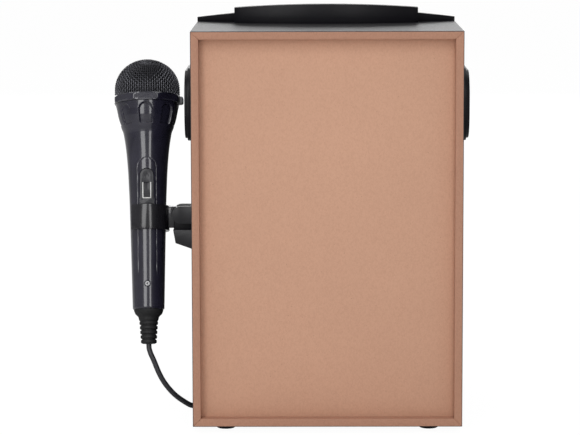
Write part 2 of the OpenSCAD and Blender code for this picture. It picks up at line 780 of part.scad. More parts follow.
// The drive gear meshes with the rack at 180 degrees, a tooth space there, and with the pinion
module drive_gear() seat() color([0.9, 0.9, 0.88]) translate([gear_x, gear_y, 0]) difference() {
    along_z(gear_low, gear_low + gear_t) gear_outline(gear_teeth, 180);
    translate([0, 0, gear_low - 1]) cylinder(r = axle_r + axle_gap, h = gear_t + 2);
    for (a = [0:60:300]) rotate(a) translate([gear_r * 0.55, 0, gear_low - 1])
        cylinder(r = gear_r * 0.14, h = gear_t + 2);
}

// Angle of a pinion tooth, so that a space of the pinion meets a tooth of the drive gear
function pinion_angle() = let (
    tooth = 360 / gear_teeth,
    off = pinion_turn - 180 - round((pinion_turn - 180) / tooth) * tooth)
    pinion_turn + 180 + off * gear_teeth / pinion_teeth + 180 / pinion_teeth;

module belt_wheel() seat() color([0.88, 0.88, 0.86]) translate([pinion_x, pinion_y, 0]) difference() {
    union() {
        along_z(wheel_low + wheel_t - EPS, gear_low + gear_t) gear_outline(pinion_teeth, pinion_angle());
        pulley(wheel_r, wheel_low);
    }
    translate([0, 0, wheel_low - 1]) cylinder(r = axle_r + axle_gap, h = BIG / 10);
}

// A pulley with a groove for the belt
module pulley(r, low) {
    translate([0, 0, low]) difference() {
        cylinder(r = r, h = wheel_t);
        translate([0, 0, (wheel_t - belt_t) / 2 - 0.2]) difference() {
            cylinder(r = r + 1, h = belt_t + 0.4);
            translate([0, 0, -1]) cylinder(r = r - 0.8, h = belt_t + 2.4);
        }
    }
}

module motor_pulley() seat() color([0.75, 0.75, 0.72]) translate([pulley_x, pinion_y, 0]) difference() {
    pulley(pulley_r, wheel_low);
    translate([0, 0, wheel_low - 1]) cylinder(r = 1 + axle_gap, h = wheel_t + 0.4);
}

// Outline round both pulleys, from the bottoms of their grooves out by a margin
function belt_outline(margin) = let (
    far = pulley_x - pinion_x,
    lean = acos((wheel_r - pulley_r) / far),
    r1 = wheel_r - 0.8 + margin,
    r2 = pulley_r - 0.8 + margin)
    [for (i = [0:24]) let (a = lean + i * (180 - lean) / 12) r1 * [cos(a), sin(a)],
        for (i = [0:12]) let (a = lean * (i / 6 - 1)) [far, 0] + r2 * [cos(a), sin(a)]];

module drive_belt() seat() color([0.06, 0.06, 0.06])
    translate([pinion_x, pinion_y, wheel_low + (wheel_t - belt_t) / 2])
        linear_extrude(belt_t) difference() {
            polygon(belt_outline(0.05 + belt_t));
            polygon(belt_outline(0.05));
        }

module loading_motor() seat() color([0.7, 0.7, 0.72]) translate([pulley_x, pinion_y, 0]) {
    translate([0, 0, frame_z - 11]) cylinder(r = 9.5, h = 11);
    translate([0, 0, frame_z - EPS]) cylinder(r = 3, h = 1.2);
    translate([0, 0, frame_z]) cylinder(r = 1, h = wheel_low + wheel_t - 1 - frame_z);
}

module clamp_bridge() seat() color([0.2, 0.2, 0.21]) difference() {
    union() {
        box(-frame_half, frame_half, disc_y - bridge_half_l, disc_y + bridge_half_l, bridge_z,
            bridge_z + bridge_t);
        for (s = [-1, 1]) box(-frame_half + 8, frame_half - 8, disc_y + s * (bridge_half_l - 1) - 1,
            disc_y + s * (bridge_half_l - 1) + 1, bridge_z + bridge_t - EPS, bridge_z + bridge_t + 2);
    }
    translate([0, disc_y, bridge_z - 1]) cylinder(r = clamp_neck + clamp_hole_gap, h = bridge_t + 2);
}

module disc_clamp() seat() color([0.85, 0.85, 0.83])
    translate([0, disc_y, 0]) rotate_extrude() polygon([[0, bridge_z - 3.4], [6, bridge_z - 3.4],
        [6, bridge_z - 4], [13, bridge_z - 4], [13, bridge_z - 1], [clamp_neck, bridge_z - 1],
        [clamp_neck, bridge_z + bridge_t], [13.5, bridge_z + bridge_t],
        [13.5, bridge_z + bridge_t + 1.5], [0, bridge_z + bridge_t + 2]]);

// The spindle's motor, and the rods that the pickup slides on, with their posts
module pickup_chassis() seat() color([0.72, 0.72, 0.74]) {
    translate([0, disc_y, deck_level]) {
        cylinder(r = spindle_motor_r, h = 6);
        cylinder(r = 1, h = 9);
    }
    for (s = [-1, 1]) {
        for (y = [rod_y0, rod_y1])
            box(s * rod_x - 2.5, s * rod_x + 2.5, y - 3, y, deck_level, rod_z + 2.5);
        rod_y(s * rod_x, rod_z, rod_r, rod_y0 - 2, rod_y1);
    }
}

module spindle_platter() seat() color([0.12, 0.12, 0.13]) translate([0, disc_y, 0]) difference() {
    rotate_extrude() polygon([[0, deck_level + 6.3], [4, deck_level + 6.3], [4, platter_top - 1.5],
        [platter_r, platter_top - 1.5], [platter_r, platter_top], [hub_r, platter_top],
        [hub_r, platter_top + 1], [hub_r - 2, platter_top + 2.8], [0, platter_top + 2.8]]);
    translate([0, 0, deck_level + 6]) cylinder(r = 1 + axle_gap, h = 3.3);
}

module pickup_sled() seat() color([0.3, 0.3, 0.33]) difference() {
    union() {
        box(-rod_x - 3, rod_x + 3, sled_y, sled_y + sled_l, rod_z - 3, rod_z + 3);
        box(-6, 6, sled_y + 4, sled_y + 18, rod_z + 3 - EPS, rod_z + 4.5);
        translate([0, sled_y + 9, rod_z + 4]) cylinder(r = 3, h = 1.5);
    }
    for (s = [-1, 1]) rod_y(s * rod_x, rod_z, rod_r + axle_gap, sled_y - 1, sled_y + sled_l + 1);
}

module tray_door() seat() color([0.12, 0.12, 0.13])
    translate([0, 0, door_z]) along_y(y_front, tray_y0) rounded(door_w, door_h, 2 - run_gap);

// Electronics

module main_board() seat() color([0.1, 0.35, 0.18]) {
    y0 = frame_y1 + 2;
    y1 = panel_y - 4;
    box(-70, 20, y0, y1, shelf_top + 5, shelf_top + 6.6);
    for (x = [-66, 16], y = [y0 + 4, y1 - 4])
        translate([x, y, shelf_top]) cylinder(r = 2.5, h = 5.1);
    for (x = [-60:12:-12]) translate([x, (y0 + y1) / 2, shelf_top + 6.5]) cylinder(r = 4, h = 11);
    box(0, 12, y0 + 3, y1 - 3, shelf_top + 6.5, shelf_top + 24);
}

module control_board() seat() color([0.1, 0.32, 0.2]) {
    box(-inner_x + 3, inner_x - 3, control_y, control_y + control_t, control_z0, control_z1);
    for (x = KNOB_X) {
        box(x - 5, x + 5, y_wall + 0.5, control_y + EPS, knob_z - 5, knob_z + 5);
        rod_y(x, knob_z, shaft_r + 0.6, y_front, y_wall + 1);
        rod_y(x, knob_z, shaft_r, y_front - knob_l + 4, y_front + 1);
    }
    for (b = BUTTONS) box(b[0] - 3, b[0] + 3, y_wall + 7, control_y + EPS, b[1] - 3, b[1] + 3);
    // Tabs that carry the power switch and the media ports
    for (s = [-1, 1]) box(s * corner_x - 9, s * corner_x + 9, control_y, control_y + control_t,
        control_z1 - EPS, door_z + 8);
    box(corner_x - 4, corner_x + 4, y_wall + 7, control_y + EPS, door_z - 4, door_z + 4);
}

// A fluted knob that turns on its shaft
module knob(x) {
    translate([x, y_front - knob_lift, knob_z]) rotate([90, 0, 0]) difference() {
        rotate_extrude() polygon([[0, knob_l], [knob_r * 0.72, knob_l], [knob_r * 0.8, knob_l - 0.8],
            [knob_r * 0.85, 2.5], [knob_r, 2], [knob_r, 0], [0, 0]]);
        translate([0, 0, -1]) cylinder(r = shaft_r + shaft_gap, h = knob_l - 3.5 - knob_lift + 1.1);
        for (a = [0:30:330]) rotate(a) translate([knob_r * 0.92, 0, 3.5]) cylinder(r = 1.3, h = knob_l);
        // Pointer groove on the knob's face
        translate([-0.6, knob_r * 0.2, knob_l - 0.6]) cube([1.2, knob_r, 1]);
    }
}

module mic_volume_knob() seat() color([0.2, 0.2, 0.22]) knob(KNOB_X[0]);
module echo_knob() seat() color([0.2, 0.2, 0.22]) knob(KNOB_X[1]);
module tone_knob() seat() color([0.2, 0.2, 0.22]) knob(KNOB_X[2]);
module music_volume_knob() seat() color([0.2, 0.2, 0.22]) knob(KNOB_X[3]);

// A push button with its flange behind the front wall and a raised mark on its face
module button(i) {
    translate([BUTTONS[i][0], 0, BUTTONS[i][1]]) {
        along_y(y_front - button_proud, y_wall + button_flange_t) rounded(button_w, button_h, 1.5);
        along_y(y_wall + switch_gap, y_wall + button_flange_t)
            rounded(button_w + 2 * button_flange, button_h + 2 * button_flange, 2);
        rod_y(0, 0, 1.5, y_wall + 1, y_wall + 7 - button_travel - switch_gap);
        translate([0, y_front - button_proud + EPS, 0]) mark(i);
    }
}

// Plain signs for play, stop, previous, next, open and source
module mark(i) {
    along_y(-0.3, 0) {
        if (i == 0) polygon([[-1.6, -1.8], [1.8, 0], [-1.6, 1.8]]);
        if (i == 1) square(3, center = true);
        if (i == 2) {
            polygon([[1.8, -1.8], [-1.2, 0], [1.8, 1.8]]);
            translate([-2, -1.8]) square([0.7, 3.6]);
        }
        if (i == 3) {
            polygon([[-1.8, -1.8], [1.2, 0], [-1.8, 1.8]]);
            translate([1.3, -1.8]) square([0.7, 3.6]);
        }
        if (i == 4) {
            polygon([[-2, -0.4], [2, -0.4], [0, 2]]);
            translate([-2, -1.8]) square([4, 0.8]);
        }
        if (i == 5) for (x = [-2.2, -0.5, 1.2]) translate([x, -0.6]) square([1.1, 1.2]);
    }
}

module play_button() seat() color([0.75, 0.76, 0.78]) button(0);
module stop_button() seat() color([0.75, 0.76, 0.78]) button(1);
module previous_button() seat() color([0.75, 0.76, 0.78]) button(2);
module next_button() seat() color([0.75, 0.76, 0.78]) button(3);
module open_button() seat() color([0.75, 0.76, 0.78]) button(4);
module source_button() seat() color([0.75, 0.76, 0.78]) button(5);

module power_button() seat() color([0.7, 0.1, 0.1]) {
    rod_y(corner_x, door_z, power_r, y_front - button_proud, y_wall + button_flange_t);
    rod_y(corner_x, door_z, power_r + button_flange, y_wall + switch_gap, y_wall + button_flange_t);
    rod_y(corner_x, door_z, 1.5, y_wall + 1, y_wall + 7 - button_travel - switch_gap);
}

module media_ports() seat() color([0.55, 0.56, 0.58]) translate([-corner_x, 0, door_z]) difference() {
    union() {
        along_y(y_front + 0.2, control_y) rounded(23.6, 17.6, 1.8);
        along_y(y_wall, y_wall + 1.5) rounded(26, 20, 2);
    }
    along_y(y_front - 1, y_wall + 7) translate([0, 3.6]) square([13.2, 5.4], center = true);
    along_y(y_front - 1, y_wall + 7) translate([0, -4.6]) square([20.6, 2.4], center = true);
}

module mic_sockets() seat() color([0.6, 0.6, 0.62])
    for (s = [-1, 1]) translate([s * socket_x, 0, socket_z]) difference() {
        union() {
            rod_y(0, 0, 6, y_front - 0.1, y_wall);
            translate([0, y_front, 0]) rotate([90, 0, 0]) cylinder(r = 7.5, h = 1.8, $fn = 6);
            box(-7, 7, y_wall, y_board + 16, -7, 7);
        }
        rod_y(0, 0, 3.3, y_front - 3, y_board + 14);
    }

// Opening for the jack plate in the left side board, with a margin for the flange
module jack_hole(margin) {
    translate([-half_w, y_rear - 60, 60]) rotate([90, 0, 90]) translate([0, 0, -BIG / 20])
        linear_extrude(BIG / 10) rounded(52 + margin, 24 + margin, 3);
}

module side_jacks() seat() color([0.12, 0.12, 0.13])
    translate([-half_w, y_rear - 60, 60]) rotate([90, 0, 90]) difference() {
        union() {
            translate([0, 0, -1.6]) linear_extrude(1.6) rounded(60, 32, 4);
            translate([0, 0, -EPS]) linear_extrude(18) rounded(51.6, 23.6, 2.8);
        }
        for (j = [[-16, 1.85, 14.4], [-2, 1.85, 15.4], [14, 3.9, 10.4]])
            translate([j[0], 0, -3]) cylinder(r = j[1], h = j[2] + 3);
    }

// Carry handles

module carry_handles() seat() color([0.09, 0.09, 0.1])
    for (s = [-1, 1]) translate([s * half_w, y_rear - handle_back, handle_z]) rotate([90, 0, s * 90])
        difference() {
            union() {
                linear_extrude(handle_proud - 2) rounded(handle_w, handle_h, handle_h * 0.4);
                linear_extrude(handle_proud) rounded(handle_w - 4, handle_h - 4, handle_h * 0.4 - 2);
                translate([0, 0, -board_t - cup_d - wall]) linear_extrude(board_t + cup_d + wall + 1)
                    rounded(cup_w + 2 * wall - 0.4, cup_h + 2 * wall - 0.4, cup_h / 2 - 0.2);
            }
            translate([0, 0, -board_t - cup_d]) linear_extrude(BIG / 10)
                rounded(cup_w, cup_h, cup_h / 2 - 1);
        }

// Microphone holder

module mic_holder() seat() color([0.1, 0.1, 0.11]) {
    // Base plate on the side board
    along_x(half_w, half_w + plate_t) translate([mic_y, (plate_z0 + plate_z1) / 2])
        rounded(plate_w, plate_z1 - plate_z0, 4);
    // Two ears that hold the clip's lug on its pin
    for (s = [-1, 1]) {
        y = mic_y + s * (lug_half + 0.3 + ear_t / 2);
        rod_y(pivot_x, pivot_z, ear_r, y - ear_t / 2, y + ear_t / 2);
        box(half_w + plate_t - EPS, pivot_x, y - ear_t / 2, y + ear_t / 2, pivot_z - ear_r,
            pivot_z + ear_r);
    }
    // Web behind the lug
    box(half_w + plate_t - EPS, half_w + 5, mic_y - lug_half - 1, mic_y + lug_half + 1,
        plate_z0 + 6, pivot_z + ear_r);
    // Wedge below the ears
    along_y(mic_y - lug_half - ear_t - 0.3, mic_y + lug_half + ear_t + 0.3)
        polygon([[half_w + plate_t - EPS, plate_z0], [half_w + 4, plate_z0 + 0.6],
            [half_w + 17.5, plate_z0 + 5.4], [half_w + 19.4, plate_z0 + 16.4],
            [half_w + plate_t - EPS, plate_z0 + 16.4]]);
    rod_y(pivot_x, pivot_z, 2, mic_y - lug_half - 1, mic_y + lug_half + 1);
    for (z = [plate_z0 + 12, plate_z1 - 5]) translate([half_w + plate_t - EPS, mic_y + 13.6, z])
        rotate([0, 90, 0]) cylinder(r = 2.2, h = 1.2);
}

// A C-shaped clip with a bore that tapers as the microphone's body does
module mic_clip() seat() color([0.05, 0.05, 0.06]) {
    r0 = mic_radius(clip_z) + clip_gap;
    r1 = mic_radius(clip_z + clip_h) + clip_gap;
    difference() {
        union() {
            on_mic() translate([0, 0, clip_z]) cylinder(r = r1 + clip_t, h = clip_h);
            // Lug between the ears
            box(pivot_x, mic_x - r0 - 1, mic_y - lug_half, mic_y + lug_half, pivot_z - 5.4, pivot_z + 5.4);
            rod_y(pivot_x, pivot_z, 5.4, mic_y - lug_half, mic_y + lug_half);
        }
        on_mic() {
            translate([0, 0, clip_z - 0.01]) cylinder(r1 = r0, r2 = r1, h = clip_h + 0.02);
            translate([0, 0, clip_z - 1]) linear_extrude(clip_h + 2)
                polygon([[0, 0], [BIG * cos(90 - clip_reach), BIG * sin(90 - clip_reach)],
                    [BIG, 0], [BIG * cos(90 - clip_reach), -BIG * sin(90 - clip_reach)]]);
        }
        rod_y(pivot_x, pivot_z, 2.05, mic_y - lug_half - 1, mic_y + lug_half + 1);
    }
}

// Microphone

module on_mic() {
    translate([mic_x, mic_y, mic_z]) rotate([mic_lean, mic_roll, 0])
        translate([0, 0, -clip_z - clip_h / 2]) children();
}

module mic_grille() seat() color([0.13, 0.13, 0.14]) on_mic() difference() {
    grille_form(ball_r - 0.1, collar_high);
    grille_form(ball_r - 1.4, collar_high - 1);
}

// A short cylinder under a round dome
module grille_form(r, low) {
    rotate_extrude() polygon([[0, low], [r, low], for (a = [0:6:90]) [r * cos(a), dome_z + r * sin(a)]]);
}

module mic_collar() seat() color([0.09, 0.09, 0.13]) on_mic() difference() {
    union() {
        translate([0, 0, collar_low]) rotate_extrude() polygon([[20, 0], [27.5, 0], [28.6, 1.5],
            [28.6, 4.6], [27.8, 5.9], [27.1, collar_high - collar_low], [20, collar_high - collar_low]]);
        // Lug that stops the microphone from rolling
        translate([0, 0, collar_low + 0.4]) rotate([0, 0, 180]) translate([26.4, 0, 0])
            rotate_extrude() polygon([[0, 0], [2, 0], [2.6, 1.6], [2, 5.4], [0, 5.4]]);
    }
    // Flats round the collar, one of them towards the rear
    for (i = [0:flute_count - 1]) let (a = i * 360 / flute_count) if (a != 180) rotate(a)
        translate([27.5, -12, collar_low + 0.7]) cube([4, 24, 4.5]);
}

module mic_capsule() seat() color([0.4, 0.4, 0.42]) on_mic()
    translate([0, 0, collar_low]) rotate_extrude() polygon([[0, 0], [16, 0], [16, 5], [13, 7],
        [13, 16], [11, 18.5], [0, 20]]);

module mic_body() seat() color([0.09, 0.09, 0.13]) on_mic() difference() {
    rotate_extrude() polygon([[0, 0], for (p = MIC_SIDE) [p[1], p[0]], [0, collar_low]]);
    // Flutes with round tops round the cup, one of them towards the rear
    for (i = [0:flute_count - 1]) rotate([0, 0, 90 + i * 360 / flute_count])
        translate([mic_radius(flute_z) - flute_deep, 0, flute_z]) rotate([0, flute_slope, 0])
            rotate([90, 0, 90]) linear_extrude(8) flute_outline();
    // Recess for the switch plate, on the side that faces away from the front
    switch_pocket(0);
    translate([0, 0, 20.6]) rotate([-90, 0, 0]) translate([0, 0, 12.2]) cylinder(r = 2.5, h = 10);
}

module flute_outline() {
    translate([-flute_half, -flute_up]) square([2 * flute_half, 2 * flute_up - flute_half]);
    translate([0, flute_up - flute_half]) circle(flute_half);
}

module switch_pocket(margin) {
    translate([0, switch_y, 0]) rotate([-90, 0, 0]) linear_extrude(10) switch_outline(margin);
}

// A plate with a round top, seen from behind; drawn with its height pointing down
module switch_outline(margin) {
    w = switch_w - 2 * margin;
    translate([-w / 2, -switch_z1 + switch_w / 2])
        square([w, switch_z1 - switch_z0 - switch_w / 2 - margin]);
    translate([0, -switch_z1 + switch_w / 2]) circle(w / 2);
}

module mic_switch_plate() seat() color([0.1, 0.1, 0.14]) on_mic() difference() {
    translate([0, switch_y, 0]) rotate([-90, 0, 0]) linear_extrude(1.4) switch_outline(0.15);
    translate([-2.6, switch_y + 0.2, slot_z]) cube([5.2, 10, slot_l]);
    translate([0, switch_y + 5.6, 110.4]) sphere(r = 4.6);
}

module mic_switch() seat() color([0.04, 0.04, 0.05]) on_mic() {
    translate([-2.3, switch_y + 0.25, slot_z + 0.6]) cube([4.6, 1, 6]);
    for (z = [1.2:1.2:5]) translate([-2.3, switch_y + 1.2, slot_z + z]) cube([4.6, 0.6, 0.6]);
}

module mic_strain_relief() seat() color([0.07, 0.07, 0.08]) on_mic() {
    rotate_extrude() polygon([[0, 0], [12.2, 0], [12.1, -1.3], [11.1, -3.8],
        [9.2, -5.6], [relief_top_r, -6.4], [8, -8.9], [relief_tip_r + 1.4, -10.5],
        [relief_tip_r, -relief_l], [0, -relief_l]]);
    for (i = [0:4]) let (r = 7.7 - i * 0.28)
        translate([0, 0, -11.3 - i * 3.83]) rotate_extrude() polygon([[0, -1.5], [r - 0.6, -1.5],
            [r, -0.9], [r, 0.9], [r - 0.6, 1.5], [0, 1.5]]);
}

// Cord

function along(p, q, t) = p + (q - p) * t;
function unit(v) = v / norm(v);
// Direction of a route at a point
function heading(path, i) = unit(path[min(i + 1, len(path) - 1)] - path[max(i - 1, 0)]);
// Two directions square to a heading, the first of them level
function level(t) = abs(t[2]) > 0.999 ? [0, 1, 0] : unit(cross([0, 0, 1], t));
function ring(p, t, side, r, sides) = let (up = cross(t, side))
    [for (k = [0:sides - 1]) let (a = 360 * k / sides) p + r * (cos(a) * side + sin(a) * up)];
// The level direction carried on from ring to ring, so that the tube doesn't twist
function carried(path, i = 0, prior = undef) =
    i >= len(path) ? [] : let (
        t = heading(path, i),
        s = is_undef(prior) ? level(t) : unit(prior - (prior * t) * t))
    [s, each carried(path, i + 1, s)];

module tube(path, r, sides) {
    n = len(path);
    frames = carried(path);
    points = [for (i = [0:n - 1]) each ring(path[i], heading(path, i), frames[i], r, sides)];
    faces = [
        [for (k = [sides - 1:-1:0]) k],
        [for (k = [0:sides - 1]) (n - 1) * sides + k],
        for (i = [0:n - 2], k = [0:sides - 1]) let (
            a = i * sides + k, b = i * sides + (k + 1) % sides)
            each [[a, b, b + sides], [a, b + sides, a + sides]]];
    polyhedron(points, faces);
}

module mic_cord() seat() color([0.06, 0.06, 0.07]) {
    tube(CORD, cord_r, 8);
    tube(TAIL, cord_r, 8);
}

// Radius, layer height and angle of the coil at each ring
function coil_span(i) = floor(i / span_rings);
function coil_part(i) = i - coil_span(i) * span_rings;
function coil_r(i) = let (
    s = coil_span(i),
    t = min(coil_part(i), layer_rings) / layer_rings,
    inward = s % 2 == 0 ? t : 1 - t)
    coil_out - (coil_out - coil_in) * inward;
function coil_h(i) = let (
    up = max(0, coil_part(i) - layer_rings) / climb_rings)
    cord_r + coil_step * (coil_span(i) + (1 - cos(180 * up)) / 2);
function coil_point(i) = let (a = 90 + 360 * i / RINGS)
    [coil_x + coil_r(i) * cos(a), coil_y + coil_r(i) * sin(a), coil_h(i)];
COIL = [
    coil_point(0) + [coil_lead, 0, 0],
    for (i = [0:coil_last]) coil_point(i),
    coil_point(coil_last) - [coil_lead, 0, 0]];
// Least gap between turns of the coil, at points half a turn or more apart
coil_gap = min([for (i = [0:2:coil_last], j = [i + RINGS / 2:1:coil_last])
    norm(coil_point(i) - coil_point(j))]) - cord_d;
echo(coil_gap = coil_gap);
function length_of(path) =
    [for (i = 1, sum = norm(path[1] - path[0]); i < len(path);
        i = i + 1, sum = sum + (i < len(path) ? norm(path[i] - path[i - 1]) : 0)) sum][len(path) - 2];
echo(cord_length = length_of(CORD) + length_of(COIL) + length_of(TAIL));

module mic_cord_coil() seat() color([0.06, 0.06, 0.07]) tube(COIL, cord_r, 6);

// A 6.35 mm plug that lies on the floor beside the coil
module mic_plug() seat() color([0.15, 0.15, 0.16])
    translate(TAIL[len(TAIL) - 1]) rotate([0, -90, 0]) rotate_extrude() polygon([
        [0, 0], [2.9, 0], [3.6, 8], [4.6, 12], [5.3, 14], [5.5, 16], [5.5, 36], [4.8, 38], [4.8, 39.5],
        [3.17, 39.5], [3.17, 61], [2.6, 61.8], [2.6, 62.6], [3.17, 63.6], [3.17, 64.6],
        [2.3, 66.4], [2.3, 67], [3, 68], [1.4, 70.5], [0, 71]]);

top_board();
base_board();
left_board();
right_board();
rear_panel();
shelf_board();
front_fascia();
top_console();
display_window();
display_module();
light_ring();
speaker_grille();
speaker_basket();
speaker_surround();
speaker_cone();
speaker_magnet();
speaker_screws();
loader_frame();
disc_tray();
tray_door();
clamp_bridge();
disc_clamp();
spindle_platter();
pickup_chassis();
pickup_sled();
drive_gear();
belt_wheel();
motor_pulley();
drive_belt();
loading_motor();
main_board();
control_board();
mic_volume_knob();
echo_knob();
music_volume_knob();
tone_knob();
play_button();
stop_button();
previous_button();
next_button();
open_button();
source_button();
power_button();
media_ports();
mic_sockets();
side_jacks();
carry_handles();
feet();
mic_holder();
mic_clip();
mic_grille();
mic_capsule();
mic_collar();
mic_body();
mic_switch_plate();
mic_switch();
mic_strain_relief();
mic_cord();
mic_cord_coil();
mic_plug();
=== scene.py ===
import json
import math
import bmesh
import bpy
import numpy as np
from mathutils import Matrix, Vector

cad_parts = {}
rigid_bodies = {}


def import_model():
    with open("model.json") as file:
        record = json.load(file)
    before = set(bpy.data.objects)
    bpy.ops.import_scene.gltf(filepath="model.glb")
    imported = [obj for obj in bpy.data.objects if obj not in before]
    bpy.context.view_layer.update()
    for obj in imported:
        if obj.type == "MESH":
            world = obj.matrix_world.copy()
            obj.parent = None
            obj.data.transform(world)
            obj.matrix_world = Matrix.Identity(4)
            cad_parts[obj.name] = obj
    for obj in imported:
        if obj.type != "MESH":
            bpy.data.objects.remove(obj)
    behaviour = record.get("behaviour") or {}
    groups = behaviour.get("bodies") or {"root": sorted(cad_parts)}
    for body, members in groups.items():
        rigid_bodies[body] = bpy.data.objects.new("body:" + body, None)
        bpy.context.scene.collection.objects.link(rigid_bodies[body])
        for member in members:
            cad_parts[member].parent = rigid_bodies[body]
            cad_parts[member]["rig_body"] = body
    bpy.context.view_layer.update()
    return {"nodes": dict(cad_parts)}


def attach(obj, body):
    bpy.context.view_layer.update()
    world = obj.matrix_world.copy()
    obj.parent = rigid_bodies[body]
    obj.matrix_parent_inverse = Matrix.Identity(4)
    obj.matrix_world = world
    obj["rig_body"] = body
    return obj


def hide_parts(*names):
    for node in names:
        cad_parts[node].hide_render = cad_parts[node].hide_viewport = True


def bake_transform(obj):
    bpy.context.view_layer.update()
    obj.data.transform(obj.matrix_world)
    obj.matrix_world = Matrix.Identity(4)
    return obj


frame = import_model()
nodes = frame["nodes"]
MM = 0.001

# The cabinet's own centre in the row frame, in millimetres
ROW = Vector((-31.9, 7.5, 0.0))
# Half the cabinet's width, its front face and the cord's radius
HALF_W = 108
Y_FRONT = -111
CORD_R = 2.2
# The front's knobs: how far each stands from the middle, and how high
KNOB_X = {"mic_volume_knob": -86, "echo_knob": -56, "tone_knob": 56, "music_volume_knob": 86}
KNOB_Z = 200
BUTTONS = ("play_button", "stop_button", "previous_button", "next_button", "open_button", "source_button")


def at(x, y, z):
    """A point given in the cabinet's millimetres, in the row frame's metres."""
    return (Vector((x, y, z)) + ROW) * MM


# Camera

# Where the camera stands, in the cabinet's millimetres, and how it is turned, in radians
CAMERA_PLACE = (13.94, 2170.41, 447.2)
YAW, PITCH, TILT = 0.0076, 0.1317, -0.0027
LENS = 162.5


def make_camera():
    level = math.cos(PITCH)
    ahead = Vector((math.sin(YAW) * level, -math.cos(YAW) * level, -math.sin(PITCH)))
    right = ahead.cross(Vector((0, 0, 1))).normalized()
    up = right.cross(ahead)
    side = right * math.cos(TILT) + up * math.sin(TILT)
    top = up * math.cos(TILT) - right * math.sin(TILT)
    data = bpy.data.cameras.new("camera")
    data.lens = LENS
    data.sensor_width = 36
    data.clip_start = 0.1
    data.clip_end = 40
    cam = bpy.data.objects.new("camera", data)
    bpy.context.scene.collection.objects.link(cam)
    turn = Matrix((side, top, -ahead)).transposed().to_4x4()
    cam.matrix_world = Matrix.Translation(at(*CAMERA_PLACE)) @ turn
    bpy.context.scene.camera = cam


# Node materials

class Shade:
    """A material that is built up from procedural nodes on one principled shader."""

    def __init__(self, name, **fixed):
        self.material = bpy.data.materials.new(name)
        self.material.use_nodes = True
        self.tree = self.material.node_tree
        self.tree.nodes.clear()
        self.out = self.node("ShaderNodeOutputMaterial")
        self.bsdf = self.node("ShaderNodeBsdfPrincipled")
        self.tree.links.new(self.bsdf.outputs[0], self.out.inputs[0])
        self.place = self.node("ShaderNodeTexCoord").outputs["Object"]
        for key, value in fixed.items():
            self.bsdf.inputs[key.replace("_", " ")].default_value = value

    def node(self, kind, **settings):
        made = self.tree.nodes.new(kind)
        for key, value in settings.items():
            setattr(made, key, value)
        return made

    def give(self, socket, value):
        if isinstance(value, bpy.types.NodeSocket):
            self.tree.links.new(value, socket)
        elif isinstance(value, (tuple, list)) and len(value) == 3 and socket.type == "RGBA":
            socket.default_value = (*value, 1)
        else:
            socket.default_value = value

    def put(self, key, value):
        self.give(self.bsdf.inputs[key], value)

    def stretched(self, stretch):
        made = self.node("ShaderNodeMapping")
        self.give(made.inputs["Vector"], self.place)
        made.inputs["Scale"].default_value = stretch
        return made.outputs[0]

    def noise(self, scale, detail=3.0, rough=0.55, stretch=None):
        made = self.node("ShaderNodeTexNoise")
        self.give(made.inputs["Vector"], self.stretched(stretch) if stretch else self.place)
        made.inputs["Scale"].default_value = scale
        made.inputs["Detail"].default_value = detail
        made.inputs["Roughness"].default_value = rough
        return made.outputs["Fac"]

    def cells(self, scale):
        made = self.node("ShaderNodeTexVoronoi")
        self.give(made.inputs["Vector"], self.place)
        made.inputs["Scale"].default_value = scale
        return made.outputs["Distance"]

    def calc(self, kind, a, b=0.0):
        made = self.node("ShaderNodeMath", operation=kind)
        self.give(made.inputs[0], a)
        self.give(made.inputs[1], b)
        return made.outputs[0]

    def remap(self, value, low, high, to_low, to_high):
        made = self.node("ShaderNodeMapRange")
        self.give(made.inputs["Value"], value)
        ends = {"From Min": low, "From Max": high, "To Min": to_low, "To Max": to_high}
        for key, number in ends.items():
            made.inputs[key].default_value = number
        return made.outputs[0]

    def spread(self, value, low=0.0, high=1.0):
        """A noise's middle part, drawn out between two numbers."""
        return self.remap(value, 0.3, 0.7, low, high)

    def mix(self, share, a, b):
        made = self.node("ShaderNodeMix", data_type="RGBA")
        self.give(made.inputs[0], share)
        self.give(made.inputs[6], a)
        self.give(made.inputs[7], b)
        return made.outputs[2]

    def blend(self, share, a, b):
        made = self.node("ShaderNodeMix", data_type="FLOAT")
        self.give(made.inputs[0], share)
        self.give(made.inputs[2], a)
        self.give(made.inputs[3], b)
        return made.outputs[0]

    def axes(self):
        made = self.node("ShaderNodeSeparateXYZ")
        self.give(made.inputs[0], self.place)
        return made.outputs

    def bump(self, height, strength, distance):
        made = self.node("ShaderNodeBump")
        made.inputs["Strength"].default_value = strength
        made.inputs["Distance"].default_value = distance
        self.give(made.inputs["Height"], height)
        self.put("Normal", made.outputs[0])


def lighter(colour, share):
    return tuple(min(1.0, c * share) for c in colour)


def moulded(name, colour, rough, grain=0.5, coat=0.0, coat_rough=0.1, grain_scale=1500.0, shine=0.5):
    """Moulded plastic: fine spark-eroded grain, slight clouds in tone and in sheen."""
    s = Shade(name, Coat_Weight=coat, Coat_Roughness=coat_rough, IOR=1.5, Specular_IOR_Level=shine)
    cloud = s.noise(45.0, 4.0)
    dust = s.noise(420.0, 5.0, 0.7)
    s.put("Base Color", s.mix(s.spread(cloud), lighter(colour, 0.86), lighter(colour, 1.16)))
    s.put("Roughness", s.spread(dust, rough - 0.05, rough + 0.06))
    cells = s.cells(grain_scale)
    s.bump(s.calc("ADD", cells, s.calc("MULTIPLY", s.noise(grain_scale * 0.6), 0.6)), grain, 0.00004)
    return s.material


